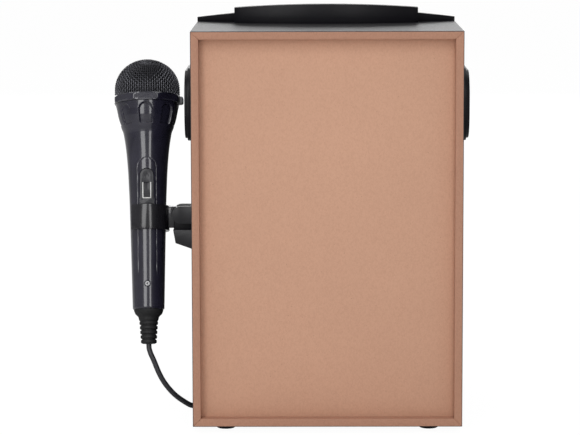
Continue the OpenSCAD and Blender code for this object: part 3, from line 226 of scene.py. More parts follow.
def metal(name, colour, rough, along=(1, 1, 1)):
    """Metal with fine drawn or turned marks."""
    s = Shade(name, Metallic=1.0)
    marks = s.noise(900.0, 5.0, 0.6, along)
    s.put("Base Color", s.mix(s.spread(s.noise(60.0)), lighter(colour, 0.85), lighter(colour, 1.12)))
    s.put("Roughness", s.spread(marks, rough - 0.06, rough + 0.09))
    s.bump(marks, 0.25, 0.00002)
    return s.material


# Heights past which the boards' outer faces are vinyl
VINYL_ABOVE = 321.5
VINYL_BELOW = 5.5


def fibre_board(name, colour, dark, covered):
    """Bare fibreboard: fine fibres, flecks and soft clouds.

    With covered, the outer faces carry dark vinyl.
    """
    s = Shade(name, IOR=1.4)
    cloud = s.noise(9.0, 5.0, 0.6)
    fibre = s.noise(900.0, 4.0, 0.65, (1.0, 1.0, 0.7))
    speck = s.noise(1500.0, 2.0, 0.5)
    tone = s.mix(s.remap(cloud, 0.32, 0.68, 0, 1), lighter(colour, 0.975), lighter(colour, 1.025))
    tone = s.mix(s.remap(fibre, 0.42, 0.72, 0.0, 0.26), tone, dark)
    tone = s.mix(s.remap(speck, 0.64, 0.76, 0.0, 0.3), tone, lighter(dark, 0.8))
    tone = s.mix(s.remap(s.noise(1100.0, 2.0, 0.5), 0.6, 0.76, 0.0, 0.3), tone, lighter(colour, 1.15))
    grit = s.remap(s.cells(160.0), 0.035, 0.05, 0.55, 0.0)
    tone = s.mix(grit, tone, lighter(dark, 0.45))
    rough = s.spread(fibre, 0.72, 0.92)
    height = s.calc("ADD", fibre, s.calc("MULTIPLY", speck, 0.5))
    if covered:
        x, _, z = s.axes()
        out = s.calc("ABSOLUTE", s.calc("SUBTRACT", x, ROW.x * MM))
        wide = s.calc("GREATER_THAN", out, (HALF_W - 0.5) * MM)
        high = s.calc("GREATER_THAN", z, VINYL_ABOVE * MM)
        low = s.calc("LESS_THAN", z, VINYL_BELOW * MM)
        skin = s.calc("MAXIMUM", wide, s.calc("MAXIMUM", high, low))
        leather = s.cells(820.0)
        vinyl = s.mix(s.spread(s.noise(30.0)), (0.017, 0.016, 0.018), (0.026, 0.024, 0.027))
        tone = s.mix(skin, tone, vinyl)
        rough = s.blend(skin, rough, s.remap(leather, 0.1, 0.6, 0.34, 0.43))
        height = s.blend(skin, height, s.calc("MULTIPLY", leather, 0.8))
    s.put("Base Color", tone)
    s.put("Roughness", rough)
    s.bump(height, 0.35, 0.00006)
    return s.material


def rubber(name, colour, rough):
    s = Shade(name, IOR=1.45)
    dust = s.noise(500.0, 5.0, 0.7)
    s.put("Base Color", s.mix(s.remap(dust, 0.35, 0.7, 0, 1), colour, lighter(colour, 1.5)))
    s.put("Roughness", s.spread(s.noise(90.0), rough - 0.06, rough + 0.06))
    s.bump(s.noise(1800.0, 3.0), 0.3, 0.00004)
    return s.material


def circuit(name):
    """A printed board: solder mask with tracks and pads."""
    s = Shade(name, Coat_Weight=0.3, IOR=1.5)
    track = s.node("ShaderNodeTexBrick")
    s.give(track.inputs["Vector"], s.stretched((260, 260, 260)))
    track.inputs["Scale"].default_value = 1.0
    track.inputs["Mortar Size"].default_value = 0.05
    pads = s.remap(s.cells(420.0), 0.12, 0.16, 1.0, 0.0)
    tone = s.mix(track.outputs["Fac"], (0.012, 0.09, 0.035), (0.03, 0.2, 0.07))
    s.put("Base Color", s.mix(pads, tone, (0.55, 0.42, 0.2)))
    s.put("Roughness", s.spread(s.noise(300.0), 0.3, 0.5))
    s.put("Metallic", pads)
    s.bump(track.outputs["Fac"], 0.3, 0.00004)
    return s.material


def cone_paper(name):
    s = Shade(name, IOR=1.4)
    fibre = s.noise(650.0, 6.0, 0.75)
    s.put("Base Color", s.mix(fibre, (0.012, 0.012, 0.013), (0.05, 0.05, 0.052)))
    s.put("Roughness", s.spread(fibre, 0.75, 0.95))
    s.bump(fibre, 0.6, 0.0001)
    return s.material


def window_glass(name):
    """Tinted glass that is printed black outside its clear middle."""
    s = Shade(name, IOR=1.49, Transmission_Weight=0.55, Coat_Weight=0.4, Coat_Roughness=0.03)
    clear_half = 56
    edge = s.calc("ABSOLUTE", s.calc("SUBTRACT", s.axes()[0], ROW.x * MM))
    printed = s.remap(edge, clear_half * MM, (clear_half + 1) * MM, 0.0, 1.0)
    s.put("Base Color", s.mix(printed, (0.09, 0.1, 0.12), (0.004, 0.004, 0.005)))
    s.put("Roughness", s.spread(s.noise(180.0, 4.0), 0.03, 0.08))
    s.bump(s.noise(35.0, 2.0), 0.04, 0.0002)
    return s.material


def milky(name):
    s = Shade(name, IOR=1.47, Coat_Weight=0.35, Coat_Roughness=0.12, Subsurface_Weight=0.35)
    s.bsdf.inputs["Subsurface Radius"].default_value = (0.004, 0.004, 0.004)
    cloud = s.noise(70.0, 4.0)
    s.put("Base Color", s.mix(cloud, (0.62, 0.65, 0.69), (0.78, 0.8, 0.83)))
    s.put("Roughness", s.spread(s.noise(500.0), 0.28, 0.4))
    s.bump(s.noise(900.0), 0.15, 0.00003)
    return s.material


def glossy_body(name):
    """The microphone's navy-black lacquered plastic."""
    s = Shade(name, IOR=1.5, Coat_Weight=0.8, Coat_Roughness=0.05, Coat_IOR=1.6)
    cloud = s.spread(s.noise(60.0, 4.0))
    s.put("Base Color", s.mix(cloud, (0.0135, 0.0125, 0.024), (0.021, 0.0195, 0.036)))
    s.put("Roughness", s.spread(s.noise(90.0, 4.0), 0.2, 0.27))
    s.bump(s.noise(240.0, 2.0), 0.04, 0.00001)
    return s.material


def wire_metal(name):
    s = Shade(name, Metallic=0.85)
    s.put("Base Color", s.mix(s.noise(300.0, 4.0), (0.045, 0.045, 0.052), (0.12, 0.12, 0.135)))
    s.put("Roughness", s.spread(s.noise(900.0), 0.24, 0.4))
    s.bump(s.noise(2500.0), 0.2, 0.00002)
    return s.material


MDF_PANEL = (0.60, 0.345, 0.235)
MDF_EDGE = (0.45, 0.238, 0.16)
LOOKS = {
    "vinyl_board": fibre_board("vinyl_board", MDF_EDGE, (0.25, 0.12, 0.075), True),
    "bare_mdf": fibre_board("bare_mdf", MDF_PANEL, (0.38, 0.2, 0.13), False),
    "black_plastic": moulded("black_plastic", (0.0058, 0.0053, 0.0076), 0.36, 0.3, shine=0.22),
    "holder_plastic": moulded("holder_plastic", (0.014, 0.0135, 0.017), 0.4, 0.35),
    "gloss_plastic": moulded("gloss_plastic", (0.012, 0.0115, 0.015), 0.2, 0.1, 0.6, 0.08),
    "window": window_glass("window"),
    "display": moulded("display", (0.03, 0.05, 0.09), 0.25, 0.1),
    "ring_clear": milky("ring_clear"),
    "grille_black": moulded("grille_black", (0.013, 0.013, 0.014), 0.42, 0.6, 0.15, 0.2, 2600.0),
    "rubber": rubber("rubber", (0.011, 0.011, 0.012), 0.62),
    "cone_paper": cone_paper("cone_paper"),
    "magnet_steel": metal("magnet_steel", (0.32, 0.32, 0.33), 0.38),
    "screw_steel": metal("screw_steel", (0.5, 0.5, 0.51), 0.26, (1, 1, 6)),
    "white_plastic": moulded("white_plastic", (0.68, 0.67, 0.63), 0.4, 0.2),
    "sled_plastic": moulded("sled_plastic", (0.05, 0.05, 0.055), 0.5, 0.3),
    "circuit_board": circuit("circuit_board"),
    "knob_black": moulded("knob_black", (0.014, 0.014, 0.016), 0.33, 0.35, 0.25, 0.15),
    "button_silver": moulded("button_silver", (0.2, 0.2, 0.21), 0.33, 0.25, 0.3, 0.12),
    "button_red": moulded("button_red", (0.35, 0.012, 0.012), 0.3, 0.2, 0.4, 0.1),
    "port_metal": metal("port_metal", (0.55, 0.54, 0.52), 0.28, (5, 1, 1)),
    "mic_gloss": glossy_body("mic_gloss"),
    "mic_switch": moulded("mic_switch", (0.012, 0.012, 0.018), 0.34, 0.2, 0.2),
    "mic_mesh": wire_metal("mic_mesh"),
    "capsule": metal("capsule", (0.3, 0.3, 0.31), 0.4),
}
CORD_SKIN = rubber("cord_skin", (0.03, 0.03, 0.034), 0.36)
PALE_RUBBER = rubber("pale_rubber", (0.2, 0.2, 0.21), 0.5)
WHITE_PRINT = moulded("white_print", (0.72, 0.72, 0.7), 0.45, 0.1)
FOAM = rubber("grille_foam", (0.004, 0.004, 0.005), 0.9)


# Pieces

def new_piece(name, mesh, body, look, smooth, replaces=()):
    """An object with its material, riding on a body if one is given."""
    obj = bpy.data.objects.new(name, mesh)
    bpy.context.scene.collection.objects.link(obj)
    mesh.materials.clear()
    mesh.materials.append(look)
    if smooth is not None:
        mesh.shade_smooth()
        mesh.set_sharp_from_angle(angle=math.radians(smooth))
    if body:
        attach(obj, body)
    if replaces:
        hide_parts(*replaces)
    return obj


def mesh_from(bm, name):
    mesh = bpy.data.meshes.new(name)
    bm.to_mesh(mesh)
    bm.free()
    return mesh


def edged(node, look, width):
    """A CAD node's own shape with its edges rounded, in its place."""
    angle = math.radians(28)
    src = nodes[node]
    bm = bmesh.new()
    bm.from_mesh(src.data)
    bmesh.ops.remove_doubles(bm, verts=bm.verts, dist=2e-6)
    bmesh.ops.dissolve_limit(bm, angle_limit=math.radians(0.4), verts=bm.verts, edges=bm.edges)
    sharp = [e for e in bm.edges if len(e.link_faces) == 2 and e.calc_face_angle(0) > angle]
    bmesh.ops.bevel(bm, geom=sharp, offset=width * MM, offset_type="OFFSET", segments=2, profile=0.5,
                    affect="EDGES", clamp_overlap=True, miter_outer="ARC")
    bmesh.ops.triangulate(bm, faces=[f for f in bm.faces if len(f.verts) > 4])
    mesh = mesh_from(bm, node + "_form")
    new_piece(node + "_form", mesh, src["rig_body"], look, 30.0, (node,))


def mesh_of(name, points, faces):
    mesh = bpy.data.meshes.new(name)
    mesh.from_pydata([tuple(p) for p in points], [], faces)
    mesh.validate()
    mesh.update()
    return mesh


def ring_faces(rows, count):
    """Faces between rings of count points each, one ring after the other."""
    faces = []
    for i in range(rows - 1):
        for k in range(count):
            a, b = i * count + k, i * count + (k + 1) % count
            faces.append((a, b, b + count, a + count))
    return faces


def add_cube(bm, place, size):
    made = bmesh.ops.create_cube(bm, size=1.0)
    bmesh.ops.transform(bm, verts=made["verts"], matrix=place @ Matrix.Diagonal((*size, 1)))


def spline(points, step):
    """Points about one step apart on a smooth curve through the given ones."""
    pts = [Vector(p) for p in points]
    pts = [pts[0] * 2 - pts[1]] + pts + [pts[-1] * 2 - pts[-2]]
    out = []
    for i in range(1, len(pts) - 2):
        a, b, c, d = pts[i - 1:i + 3]
        count = max(1, round((c - b).length / step))
        for k in range(count):
            t = k / count
            out.append(0.5 * (2 * b + (c - a) * t + (2 * a - 5 * b + 4 * c - d) * t * t
                              + (3 * b - a - 3 * c + d) * t ** 3))
    out.append(pts[-2])
    return out


def tube_parts(path, radius, sides, closed=False):
    """Points and faces of a round tube along a path."""
    n = len(path)
    path = [Vector(p) for p in path]
    points, faces = [], []
    side = None
    for i, p in enumerate(path):
        before = path[i - 1] if i or closed else path[0]
        after = path[(i + 1) % n] if i < n - 1 or closed else path[-1]
        t = (after - before).normalized()
        if side is None:
            side = t.orthogonal().normalized()
        side = (side - t * side.dot(t)).normalized()
        up = t.cross(side)
        for k in range(sides):
            a = 2 * math.pi * k / sides
            points.append(p + radius * (math.cos(a) * side + math.sin(a) * up))
    for i in range(n if closed else n - 1):
        for k in range(sides):
            a, b = i * sides + k, i * sides + (k + 1) % sides
            c, d = ((i + 1) % n) * sides + (k + 1) % sides, ((i + 1) % n) * sides + k
            faces.append((a, b, c, d))
    if not closed:
        faces.append(tuple(range(sides - 1, -1, -1)))
        faces.append(tuple((n - 1) * sides + k for k in range(sides)))
    return points, faces


# Microphone

LEAN, ROLL = math.radians(14.5), math.radians(0.7)
MIC_PLACE = (Matrix.Translation(at(148.7, 7, 159.8)) @ Matrix.Rotation(ROLL, 4, "Y")
             @ Matrix.Rotation(LEAN, 4, "X") @ Matrix.Translation((0, 0, -76.0 * MM)))
# Heights on the handle and the radius at each
MIC_H = [0, 0.6, 24, 58, 92, 115, 127, 136, 142, 147, 149, 151, 153.4, 157, 161, 166, 172.4]
MIC_R = [12.8, 13.2, 13.7, 14.5, 15.4, 16.4, 17.3, 18.2, 19.1, 20, 20.5, 21.4, 22.2, 23.5, 24.6, 25.6, 26.6]
COLLAR_LOW, COLLAR_HIGH, DOME_Z, BALL_R = 172.4, 179.0, 184.7, 27.4
# The angle between two of the handle's eight flutes, of which one is in the middle of its front
EIGHTH = math.pi / 4
SCREW_Z = 20.6
# The crown of the mesh is pressed a little flat
FLAT = 0.945


def on_mic(points):
    return [MIC_PLACE @ (Vector(p) * MM) for p in points]


MIC_TIP = on_mic([(0, 0, -28.4)])[0]


def step_up(x):
    t = np.clip(x, 0, 1)
    return t * t * (3 - 2 * t)


def from_flute(phi):
    """Angle from the middle of the nearest flute."""
    return (phi - math.pi / 2 + EIGHTH / 2) % EIGHTH - EIGHTH / 2


def mic_body():
    flute_z, flute_tilt, flute_half, flute_top, flute_deep = 162.1, math.radians(14), 8.7, 2.8, 1.55
    panel_top, panel_half, panel_low = 117.2, 8, 26
    plate_top, plate_half, plate_low, plate_y = 110.5, 5.85, 86.4, 14.15
    screw_r, screw_y = 2.5, 12.6
    heights = np.concatenate([
        [0, 0.15, 0.35, 0.6], np.arange(2, 18, 2), np.arange(18, 24, 0.35), np.arange(24, 84, 2),
        np.arange(84, 127, 0.4), np.arange(127, 147, 1), np.arange(147, COLLAR_LOW + 0.01, 0.3)])
    count = 320
    fine = np.arange(0, 180, 0.25)
    base = np.interp(fine, MIC_H, MIC_R)
    reach = 24
    window = np.ones(2 * reach + 1) / (2 * reach + 1)
    soft = np.convolve(np.pad(base, reach, mode="edge"), window, mode="valid")
    keep = np.clip((fine - 143) / 3, 0, 1)
    rim = np.clip(fine / 6, 0, 1)
    base = (soft * (1 - keep) + base * keep) * rim + base * (1 - rim)
    radius = np.interp(heights, fine, base)
    radius[:4] = [12.2, 12.65, 12.95, 13.15]
    phi = np.arange(count) * 2 * math.pi / count
    h = heights[:, None] + 0 * phi[None, :]
    r = radius[:, None] + 0 * phi[None, :]
    turn = from_flute(phi[None, :] + 0 * h)
    # Flutes with round tops and flat lower ends
    across = np.abs(r * turn)
    t = (h - flute_z) / math.cos(flute_tilt)
    half = 5.45 + (t + flute_half) / (2 * flute_half) * 0.8
    inside = np.where(t < flute_top, half - across, half - np.hypot(across, t - flute_top))
    inside = np.minimum(inside, t + flute_half)
    r = r - flute_deep * step_up(inside / 0.9)
    # Seam of the panel round the switch
    away = (phi[None, :] + 0 * h - math.pi / 2 + math.pi) % (2 * math.pi) - math.pi
    across = np.abs(r * away)
    beyond = np.hypot(across, h - panel_top)
    seam = np.where(h < panel_top, np.abs(across - panel_half), np.abs(beyond - panel_half))
    r = r - 0.3 * np.exp(-(seam / 0.3) ** 2) * (h > panel_low)
    x, y = r * np.cos(phi), r * np.sin(phi)
    # Flat seat of the switch plate and the screw's recess
    plate = np.where(h < plate_top, plate_half - np.abs(x), plate_half - np.hypot(x, h - plate_top))
    plate = np.minimum(plate, h - plate_low)
    y = np.where((plate > 0) & (y > 0), plate_y, y)
    y = np.where((np.hypot(x, h - SCREW_Z) < screw_r) & (y > 0), screw_y, y)
    points = np.stack([x, y, h], -1).reshape(-1, 3).tolist()
    rows = len(heights)
    faces = ring_faces(rows, count)
    faces.append(tuple(range(count - 1, -1, -1)))
    faces.append(tuple((rows - 1) * count + k for k in range(count)))
    mesh = mesh_of("mic_handle", on_mic(points), faces)
    new_piece("mic_handle", mesh, "microphone", LOOKS["mic_gloss"], 38.0, ("mic_body",))


def mic_dome():
    """Woven wires over a foam lining: rows round the axis and columns towards the crown."""
    pitch = 1.95
    wire = 0.36
    rise = 0.3
    # The wires' middle lies this far inside the ball's outline
    sunk = 0.66
    # Each band's latitudes and its number of wires
    wires = [(0.0, 50.0, 84), (50.0, 69.0, 42), (69.0, 81.0, 21)]
    straight = DOME_Z - COLLAR_HIGH
    arc_rows = int(BALL_R * math.radians(wires[-1][1]) / pitch)
    stations = [(COLLAR_HIGH + k * straight / 3, 0.0) for k in range(3)]
    stations += [(DOME_Z, pitch * k / BALL_R) for k in range(arc_rows + 1)]

    def spot(z0, lat, phi, lift):
        rr = BALL_R - sunk + lift
        return (rr * math.cos(lat) * math.cos(phi), rr * math.cos(lat) * math.sin(phi),
                z0 + rr * FLAT * math.sin(lat))

    def count_at(lat):
        return next(n for low, high, n in wires if math.degrees(lat) < high or high == wires[-1][1])

    points, faces = [], []

    def add(path, closed):
        p, f = tube_parts(path, wire, 4, closed)
        base = len(points)
        points.extend(p)
        faces.extend(tuple(i + base for i in q) for q in f)

    for j, (z0, lat) in enumerate(stations):
        n = count_at(lat)
        sign = 1 if j % 2 == 0 else -1
        ring = [spot(z0, lat, math.pi * k / n, sign * rise * (k % 2 == 0) * (1 if k % 4 == 0 else -1))
                for k in range(2 * n)]
        add([Vector(p) for p in ring], True)
    for low, high, n in wires:
        chosen = [(j, s) for j, s in enumerate(stations)
                  if math.radians(low) - 1e-6 <= s[1] <= math.radians(high) + pitch / BALL_R]
        for k in range(n):
            phi = 2 * math.pi * k / n
            path = []
            for m, (j, (z0, lat)) in enumerate(chosen):
                sign = -1 if (j + k) % 2 == 0 else 1
                path.append(Vector(spot(z0, lat, phi, sign * rise)))
                if m + 1 < len(chosen):
                    z1, lat1 = chosen[m + 1][1]
                    path.append(Vector(spot((z0 + z1) / 2, (lat + lat1) / 2, phi, 0.0)))
            if len(path) > 2:
                add(path, False)
    mesh = mesh_of("mic_weave", on_mic(points), faces)
    new_piece("mic_weave", mesh, "microphone", LOOKS["mic_mesh"], 60.0, ("mic_grille",))
    # Lining and the pressed crown
    inner = BALL_R - 1.6
    profile = [(inner, COLLAR_HIGH - 0.5), (inner, DOME_Z)]
    profile += [(inner * math.cos(math.radians(a)), DOME_Z + inner * FLAT * math.sin(math.radians(a)))
                for a in range(5, 90, 5)]
    revolve("mic_lining", profile, 96, FOAM, DOME_Z + inner * FLAT)
    top = DOME_Z + BALL_R * FLAT
    crown = [(4.6, top - 1.1), (4.3, top - 0.45), (3, top - 0.2), (1.5, top - 0.06)]
    revolve("mic_crown", crown, 48, LOOKS["mic_mesh"], top)


def revolve(name, profile, count, look, crown_z):
    """A turned form on the microphone's axis, closed at its crown and at its foot."""
    points = []
    for r, z in profile:
        points += [(r * math.cos(2 * math.pi * k / count), r * math.sin(2 * math.pi * k / count), z)
                   for k in range(count)]
    faces = ring_faces(len(profile), count)
    last = (len(profile) - 1) * count
    points.append((0, 0, crown_z))
    faces += [(last + k, last + (k + 1) % count, len(points) - 1) for k in range(count)]
    faces.append(tuple(range(count - 1, -1, -1)))
    new_piece(name, mesh_of(name, on_mic(points), faces), "microphone", look, 50.0)


def switch_frame():
    """The pale U-shaped line round the slide switch, and the screw near the handle's end."""
    placed = MIC_PLACE @ Matrix.Scale(MM, 4)
    line_y, head_y, cross_y = 15.62, 13.2, 13.62
    bm = bmesh.new()
    for x, z, wide, high in ((-3.25, 97.9, 0.9, 13.4), (3.25, 97.9, 0.9, 13.4), (0, 91.65, 7.4, 0.9)):
        add_cube(bm, Matrix.Translation((x, line_y, z)), (wide, 0.5, high))
    bmesh.ops.transform(bm, verts=bm.verts, matrix=placed)
    mesh = mesh_from(bm, "mic_switch_line")
    new_piece("mic_switch_line", mesh, "microphone", WHITE_PRINT, 30.0)
    bm = bmesh.new()
    bmesh.ops.create_cone(bm, cap_ends=True, segments=40, radius1=2.25, radius2=1.9, depth=0.9)
    head = Matrix.Translation((0, head_y, SCREW_Z)) @ Matrix.Rotation(-math.pi / 2, 4, "X")
    bmesh.ops.transform(bm, verts=bm.verts, matrix=head)
    mesh = mesh_from(bm, "mic_screw")
    mesh.transform(placed)
    new_piece("mic_screw", mesh, "microphone", LOOKS["screw_steel"], 35.0)
    # The screw's cross is not cut into the head: a thin near-black slab stands on its face, painted shade
    # where the recess would be.
    bm = bmesh.new()
    for turn in (0.35, 0.35 + math.pi / 2):
        painted_cross_shade = Matrix.Translation((0, cross_y, SCREW_Z)) @ Matrix.Rotation(turn, 4, "Y")
        add_cube(bm, painted_cross_shade, (2.5, 0.16, 0.6))
    mesh = mesh_from(bm, "mic_screw_cross_shade")
    mesh.transform(placed)
    new_piece("mic_screw_cross_shade", mesh, "microphone", LOOKS["rubber"], 35.0)


def mic_collar():
    """The eight-sided ring under the mesh, with the lug that stops it rolling."""
    outline = [(24, 0), (27.2, 0), (27.8, 0.35), (28.5, 1.3), (28.6, 1.7), (28.6, 4.5), (28.4, 5.1),
               (27.9, 5.9), (27.4, 6.5), (27.1, 6.6), (24, 6.6)]
    count = 384
    phi = np.arange(count) * 2 * math.pi / count
    turn = from_flute(phi)
    points = []
    # The flats are cut less deep at the ring's two rims
    for i, (r, z) in enumerate(outline):
        flat = 26.75 + (0.55 if i in (2, 8) else 0) + (0.9 if i in (1, 9) else 0)
        ring = np.minimum(r, flat / np.cos(turn)) if 0 < i < 10 else np.full(count, float(r))
        points += [(rr * math.cos(a), rr * math.sin(a), COLLAR_LOW + z) for rr, a in zip(ring, phi)]
    rows = len(outline)
    last = (rows - 1) * count
    faces = ring_faces(rows, count)
    faces += [(last + k, last + (k + 1) % count, (k + 1) % count, k) for k in range(count)]
    block("mic_lug", (-30.2, -4.6, COLLAR_LOW - 0.4), (-25.5, 4.6, COLLAR_LOW + 6), "microphone",
          PALE_RUBBER, 1.7, MIC_PLACE)
    mesh = mesh_of("mic_ring", on_mic(points), faces)
    new_piece("mic_ring", mesh, "microphone", LOOKS["mic_gloss"], 22.0, ("mic_collar",))


def block(name, low, high, body, look, width=0.8, place=None):
    """A block with rounded edges between two corners in millimetres, the cabinet's or those of a place."""
    bm = bmesh.new()
    low, high = (at(*low), at(*high)) if place is None else (Vector(low) * MM, Vector(high) * MM)
    add_cube(bm, (place or Matrix()) @ Matrix.Translation((low + high) / 2), high - low)
    bmesh.ops.bevel(bm, geom=bm.edges[:], offset=width * MM, segments=3, profile=0.5, affect="EDGES")
    new_piece(name, mesh_from(bm, name), body, look, 30.0)


# Cord

# Points down from the microphone, measured from the box's front corner on the microphone's side
ROUTE = [
    (39.5, 144.1, 56.5), (39.3, 145.1, 52.6), (38, 146, 48.6), (35.9, 146.8, 44.2), (34.1, 147.3, 39.9),
    (32.2, 147.7, 35.1), (29.8, 147.9, 29.9), (27, 147.6, 24.9), (23.2, 146.8, 19.5),
    (18.9, 145.3, 14.4), (14.9, 143.2, 10.5), (11.1, 140.3, 7.2), (7.9, 136.5, 4.3),
    (5.5, 131.6, 2), (4, 125.8, 0.6), (3.2, 119, 0.1), (2.8, 111, 0),
    (2.8, 99, 0), (2.8, 83, 0), (2.8, 67, 0), (2.8, 51, 0), (2.8, 35, 0),
    (2.8, 19, 0), (2.6, 7, 0), (1.6, -4, 0), (-1.6, -14, 0), (-7.6, -22, 0),
    (-16, -27, 0), (-26, -29.4, 0), (-35, -30, 0)]
# From the coil to the plug: how far in from the box's side, and the share of the way up to the
# coil's top
REACH = [(53.4, 1), (58, 1), (63, 0.96), (68, 0.84), (73, 0.67), (78, 0.48), (83, 0.29), (88, 0.13),
         (93, 0.03), (98, 0)]
COIL_OUT, COIL_TURNS, COIL_LAYERS, COIL_PITCH, COIL_STEP = 33.4, 3.125, 4, 5.7, 5.1
# Points in each turn of the coil
RINGS = 24
# Where the cord runs in front of the box, and the middle of the coil
RUN_Y = Y_FRONT - 30
COIL_X = HALF_W - 49
COIL_Y = RUN_Y - COIL_OUT
PLUG_Z = 5.5


def coil_points():
    flat = COIL_TURNS * RINGS
    climb = RINGS / 2
    last = int(COIL_LAYERS * flat + (COIL_LAYERS - 1) * climb)
    out = []
    for i in range(last + 1):
        layer = i // (flat + climb)
        part = i - layer * (flat + climb)
        t = min(part, flat) / flat
        inward = t if layer % 2 == 0 else 1 - t
        r = COIL_OUT - COIL_TURNS * COIL_PITCH * inward
        up = max(0.0, part - flat) / climb
        z = CORD_R + COIL_STEP * (layer + (1 - math.cos(math.pi * up)) / 2)
        a = math.radians(90 + 360 * i / RINGS)
        out.append((COIL_X + r * math.cos(a), COIL_Y + r * math.sin(a), z))
    return out


def mic_cord():
    tip = MIC_TIP / MM - ROW
    top = CORD_R + (COIL_LAYERS - 1) * COIL_STEP
    out = MIC_PLACE.to_3x3() @ Vector((0, 0, -1))
    points = [tuple(tip - out), tuple(tip + out * 1.2)]
    for p in ROUTE[1:]:
        hang = p[2] / ROUTE[0][2]
        points.append((HALF_W + p[0] + hang * (tip.x - HALF_W - ROUTE[0][0]),
                       Y_FRONT + p[1] + hang * (tip.y - Y_FRONT - ROUTE[0][1]),
                       CORD_R + hang * (tip.z - CORD_R)))
    coil = coil_points()
    lead_in = 4.4
    points.append((coil[0][0] + lead_in, coil[0][1], coil[0][2]))
    points += coil
    points += [(HALF_W - a, RUN_Y, PLUG_Z + b * (top - PLUG_Z)) for a, b in REACH]
    path = spline([at(*p) for p in points], 3.2 * MM)
    parts = tube_parts(path, CORD_R * MM, 14)
    mesh = mesh_of("cord", *parts)
    obj = new_piece("cord", mesh, None, CORD_SKIN, 60.0, ("mic_cord", "mic_cord_coil"))
    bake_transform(obj)


# Signs and marks on the front

def flat_sign(name, outlines, body, y, depth):
    """Raised flat signs that face the front, from loops of (x, z) in the cabinet's millimetres."""
    points, faces = [], []
    for loop in outlines:
        n = len(loop)
        base = len(points)
        points += [at(x, y, z) for x, z in loop] + [at(x, y - depth, z) for x, z in loop]
        faces.append(tuple(base + n + k for k in range(n)))
        faces.append(tuple(base + n - 1 - k for k in range(n)))
        for k in range(n):
            a, b = base + k, base + (k + 1) % n
            faces.append((a, b, b + n, a + n))
    mesh = mesh_of(name, points, faces)
    bm = bmesh.new()
    bm.from_mesh(mesh)
    bmesh.ops.recalc_face_normals(bm, faces=bm.faces)
    bm.to_mesh(mesh)
    bm.free()
    new_piece(name, mesh, body, WHITE_PRINT, None)


def bar(x, z, angle, inner, outer, half):
    """A radial bar round (x, z)."""
    d = Vector((math.sin(angle), math.cos(angle)))
    n = Vector((d.y, -d.x)) * half
    c = Vector((x, z))
    corners = (c + d * inner - n, c + d * outer - n, c + d * outer + n, c + d * inner + n)
    return [tuple(p) for p in corners]


def front_marks():
    """Eleven ticks round each knob, every fifth one longer, and the line on its face."""
    scales = []
    knob_face = Y_FRONT - 14.1
    for name, x in KNOB_X.items():
        for k in range(11):
            angle = math.radians(-150 + 30 * k)
            scales.append(bar(x, KNOB_Z, angle, 12.2, 14.6 if k % 5 == 0 else 13.7, 0.32))
        flat_sign(name + "_pointer", [bar(x, KNOB_Z, 0, 2.3, 6.9, 0.5)], name, knob_face, 0.12)
    flat_sign("knob_scales", scales, "cabinet", Y_FRONT + 0.03, 0.15)


# Stage and light

def make_stage():
    floor = Shade("floor_white")
    grain = floor.noise(3.0, 3.0)
    floor.put("Roughness", 0.9)
    glow = floor.node("ShaderNodeEmission")
    glow.inputs["Strength"].default_value = 1.05
    ray = floor.node("ShaderNodeLightPath")
    pale = floor.mix(grain, (0.9, 0.9, 0.9), (0.94, 0.94, 0.94))
    # Painted darker reflection: glossy rays see the floor at 55% of its colour, so it shows darker in
    # reflections than it is.
    mirrored = floor.calc("MULTIPLY", ray.outputs["Is Glossy Ray"], 0.45)
    floor.put("Base Color", floor.mix(mirrored, pale, (0, 0, 0)))
    share = floor.calc("MULTIPLY", ray.outputs["Is Camera Ray"], 0.92)
    blend = floor.node("ShaderNodeMixShader")
    floor.give(blend.inputs[0], share)
    floor.tree.links.new(floor.bsdf.outputs[0], blend.inputs[1])
    floor.tree.links.new(glow.outputs[0], blend.inputs[2])
    floor.tree.links.new(blend.outputs[0], floor.out.inputs[0])
    size = 14.0
    corners = ((-size, -size), (size, -size), (size, size), (-size, size))
    mesh = bpy.data.meshes.new("floor")
    mesh.from_pydata([(x, y, -0.0002) for x, y in corners], [], [(0, 1, 2, 3)])
    obj = bpy.data.objects.new("floor", mesh)
    mesh.materials.append(floor.material)
    bpy.context.scene.collection.objects.link(obj)


# The sky's strength where neither the camera nor clear plastic looks at it
SKY = 0.3


def make_world():
    world = bpy.data.worlds.new("studio")
    bpy.context.scene.world = world
    world.use_nodes = True
    tree = world.node_tree
    tree.nodes.clear()
    out = tree.nodes.new("ShaderNodeOutputWorld")
    shine = tree.nodes.new("ShaderNodeBackground")
    ray = tree.nodes.new("ShaderNodeLightPath")

    def calc(kind, a, b):
        made = tree.nodes.new("ShaderNodeMath")
        made.operation = kind
        for socket, value in zip(made.inputs, (a, b)):
            if isinstance(value, bpy.types.NodeSocket):
                tree.links.new(value, socket)
            else:
                socket.default_value = value
        return made.outputs[0]

    through = calc("MULTIPLY", ray.outputs["Is Transmission Ray"], 0.8)
    clear = calc("MAXIMUM", ray.outputs["Is Camera Ray"], through)
    level = calc("MAXIMUM", clear, SKY)
    tree.links.new(level, shine.inputs["Strength"])
    shine.inputs["Color"].default_value = (1, 1, 1, 1)
    tree.links.new(shine.outputs[0], out.inputs[0])


def softbox(name, azimuth, elevation, distance, width, height, radiance):
    """A rectangular lamp that faces the object.

    Azimuth is measured from the camera's side, towards the image's right. Angles are in degrees and
    sizes in metres.
    """
    a, e = math.radians(azimuth), math.radians(elevation)
    way = Vector((-math.sin(a) * math.cos(e), math.cos(a) * math.cos(e), math.sin(e)))
    data = bpy.data.lights.new(name, "AREA")
    data.shape = "RECTANGLE"
    data.size = width
    data.size_y = height
    data.energy = radiance * math.pi * width * height
    lamp = bpy.data.objects.new(name, data)
    bpy.context.scene.collection.objects.link(lamp)
    centre = Vector((0, 0, 0.16))
    lamp.location = centre + way * distance
    lamp.visible_camera = False
    lamp.rotation_mode = "QUATERNION"
    lamp.rotation_quaternion = (-way).to_track_quat("-Z", "Y")


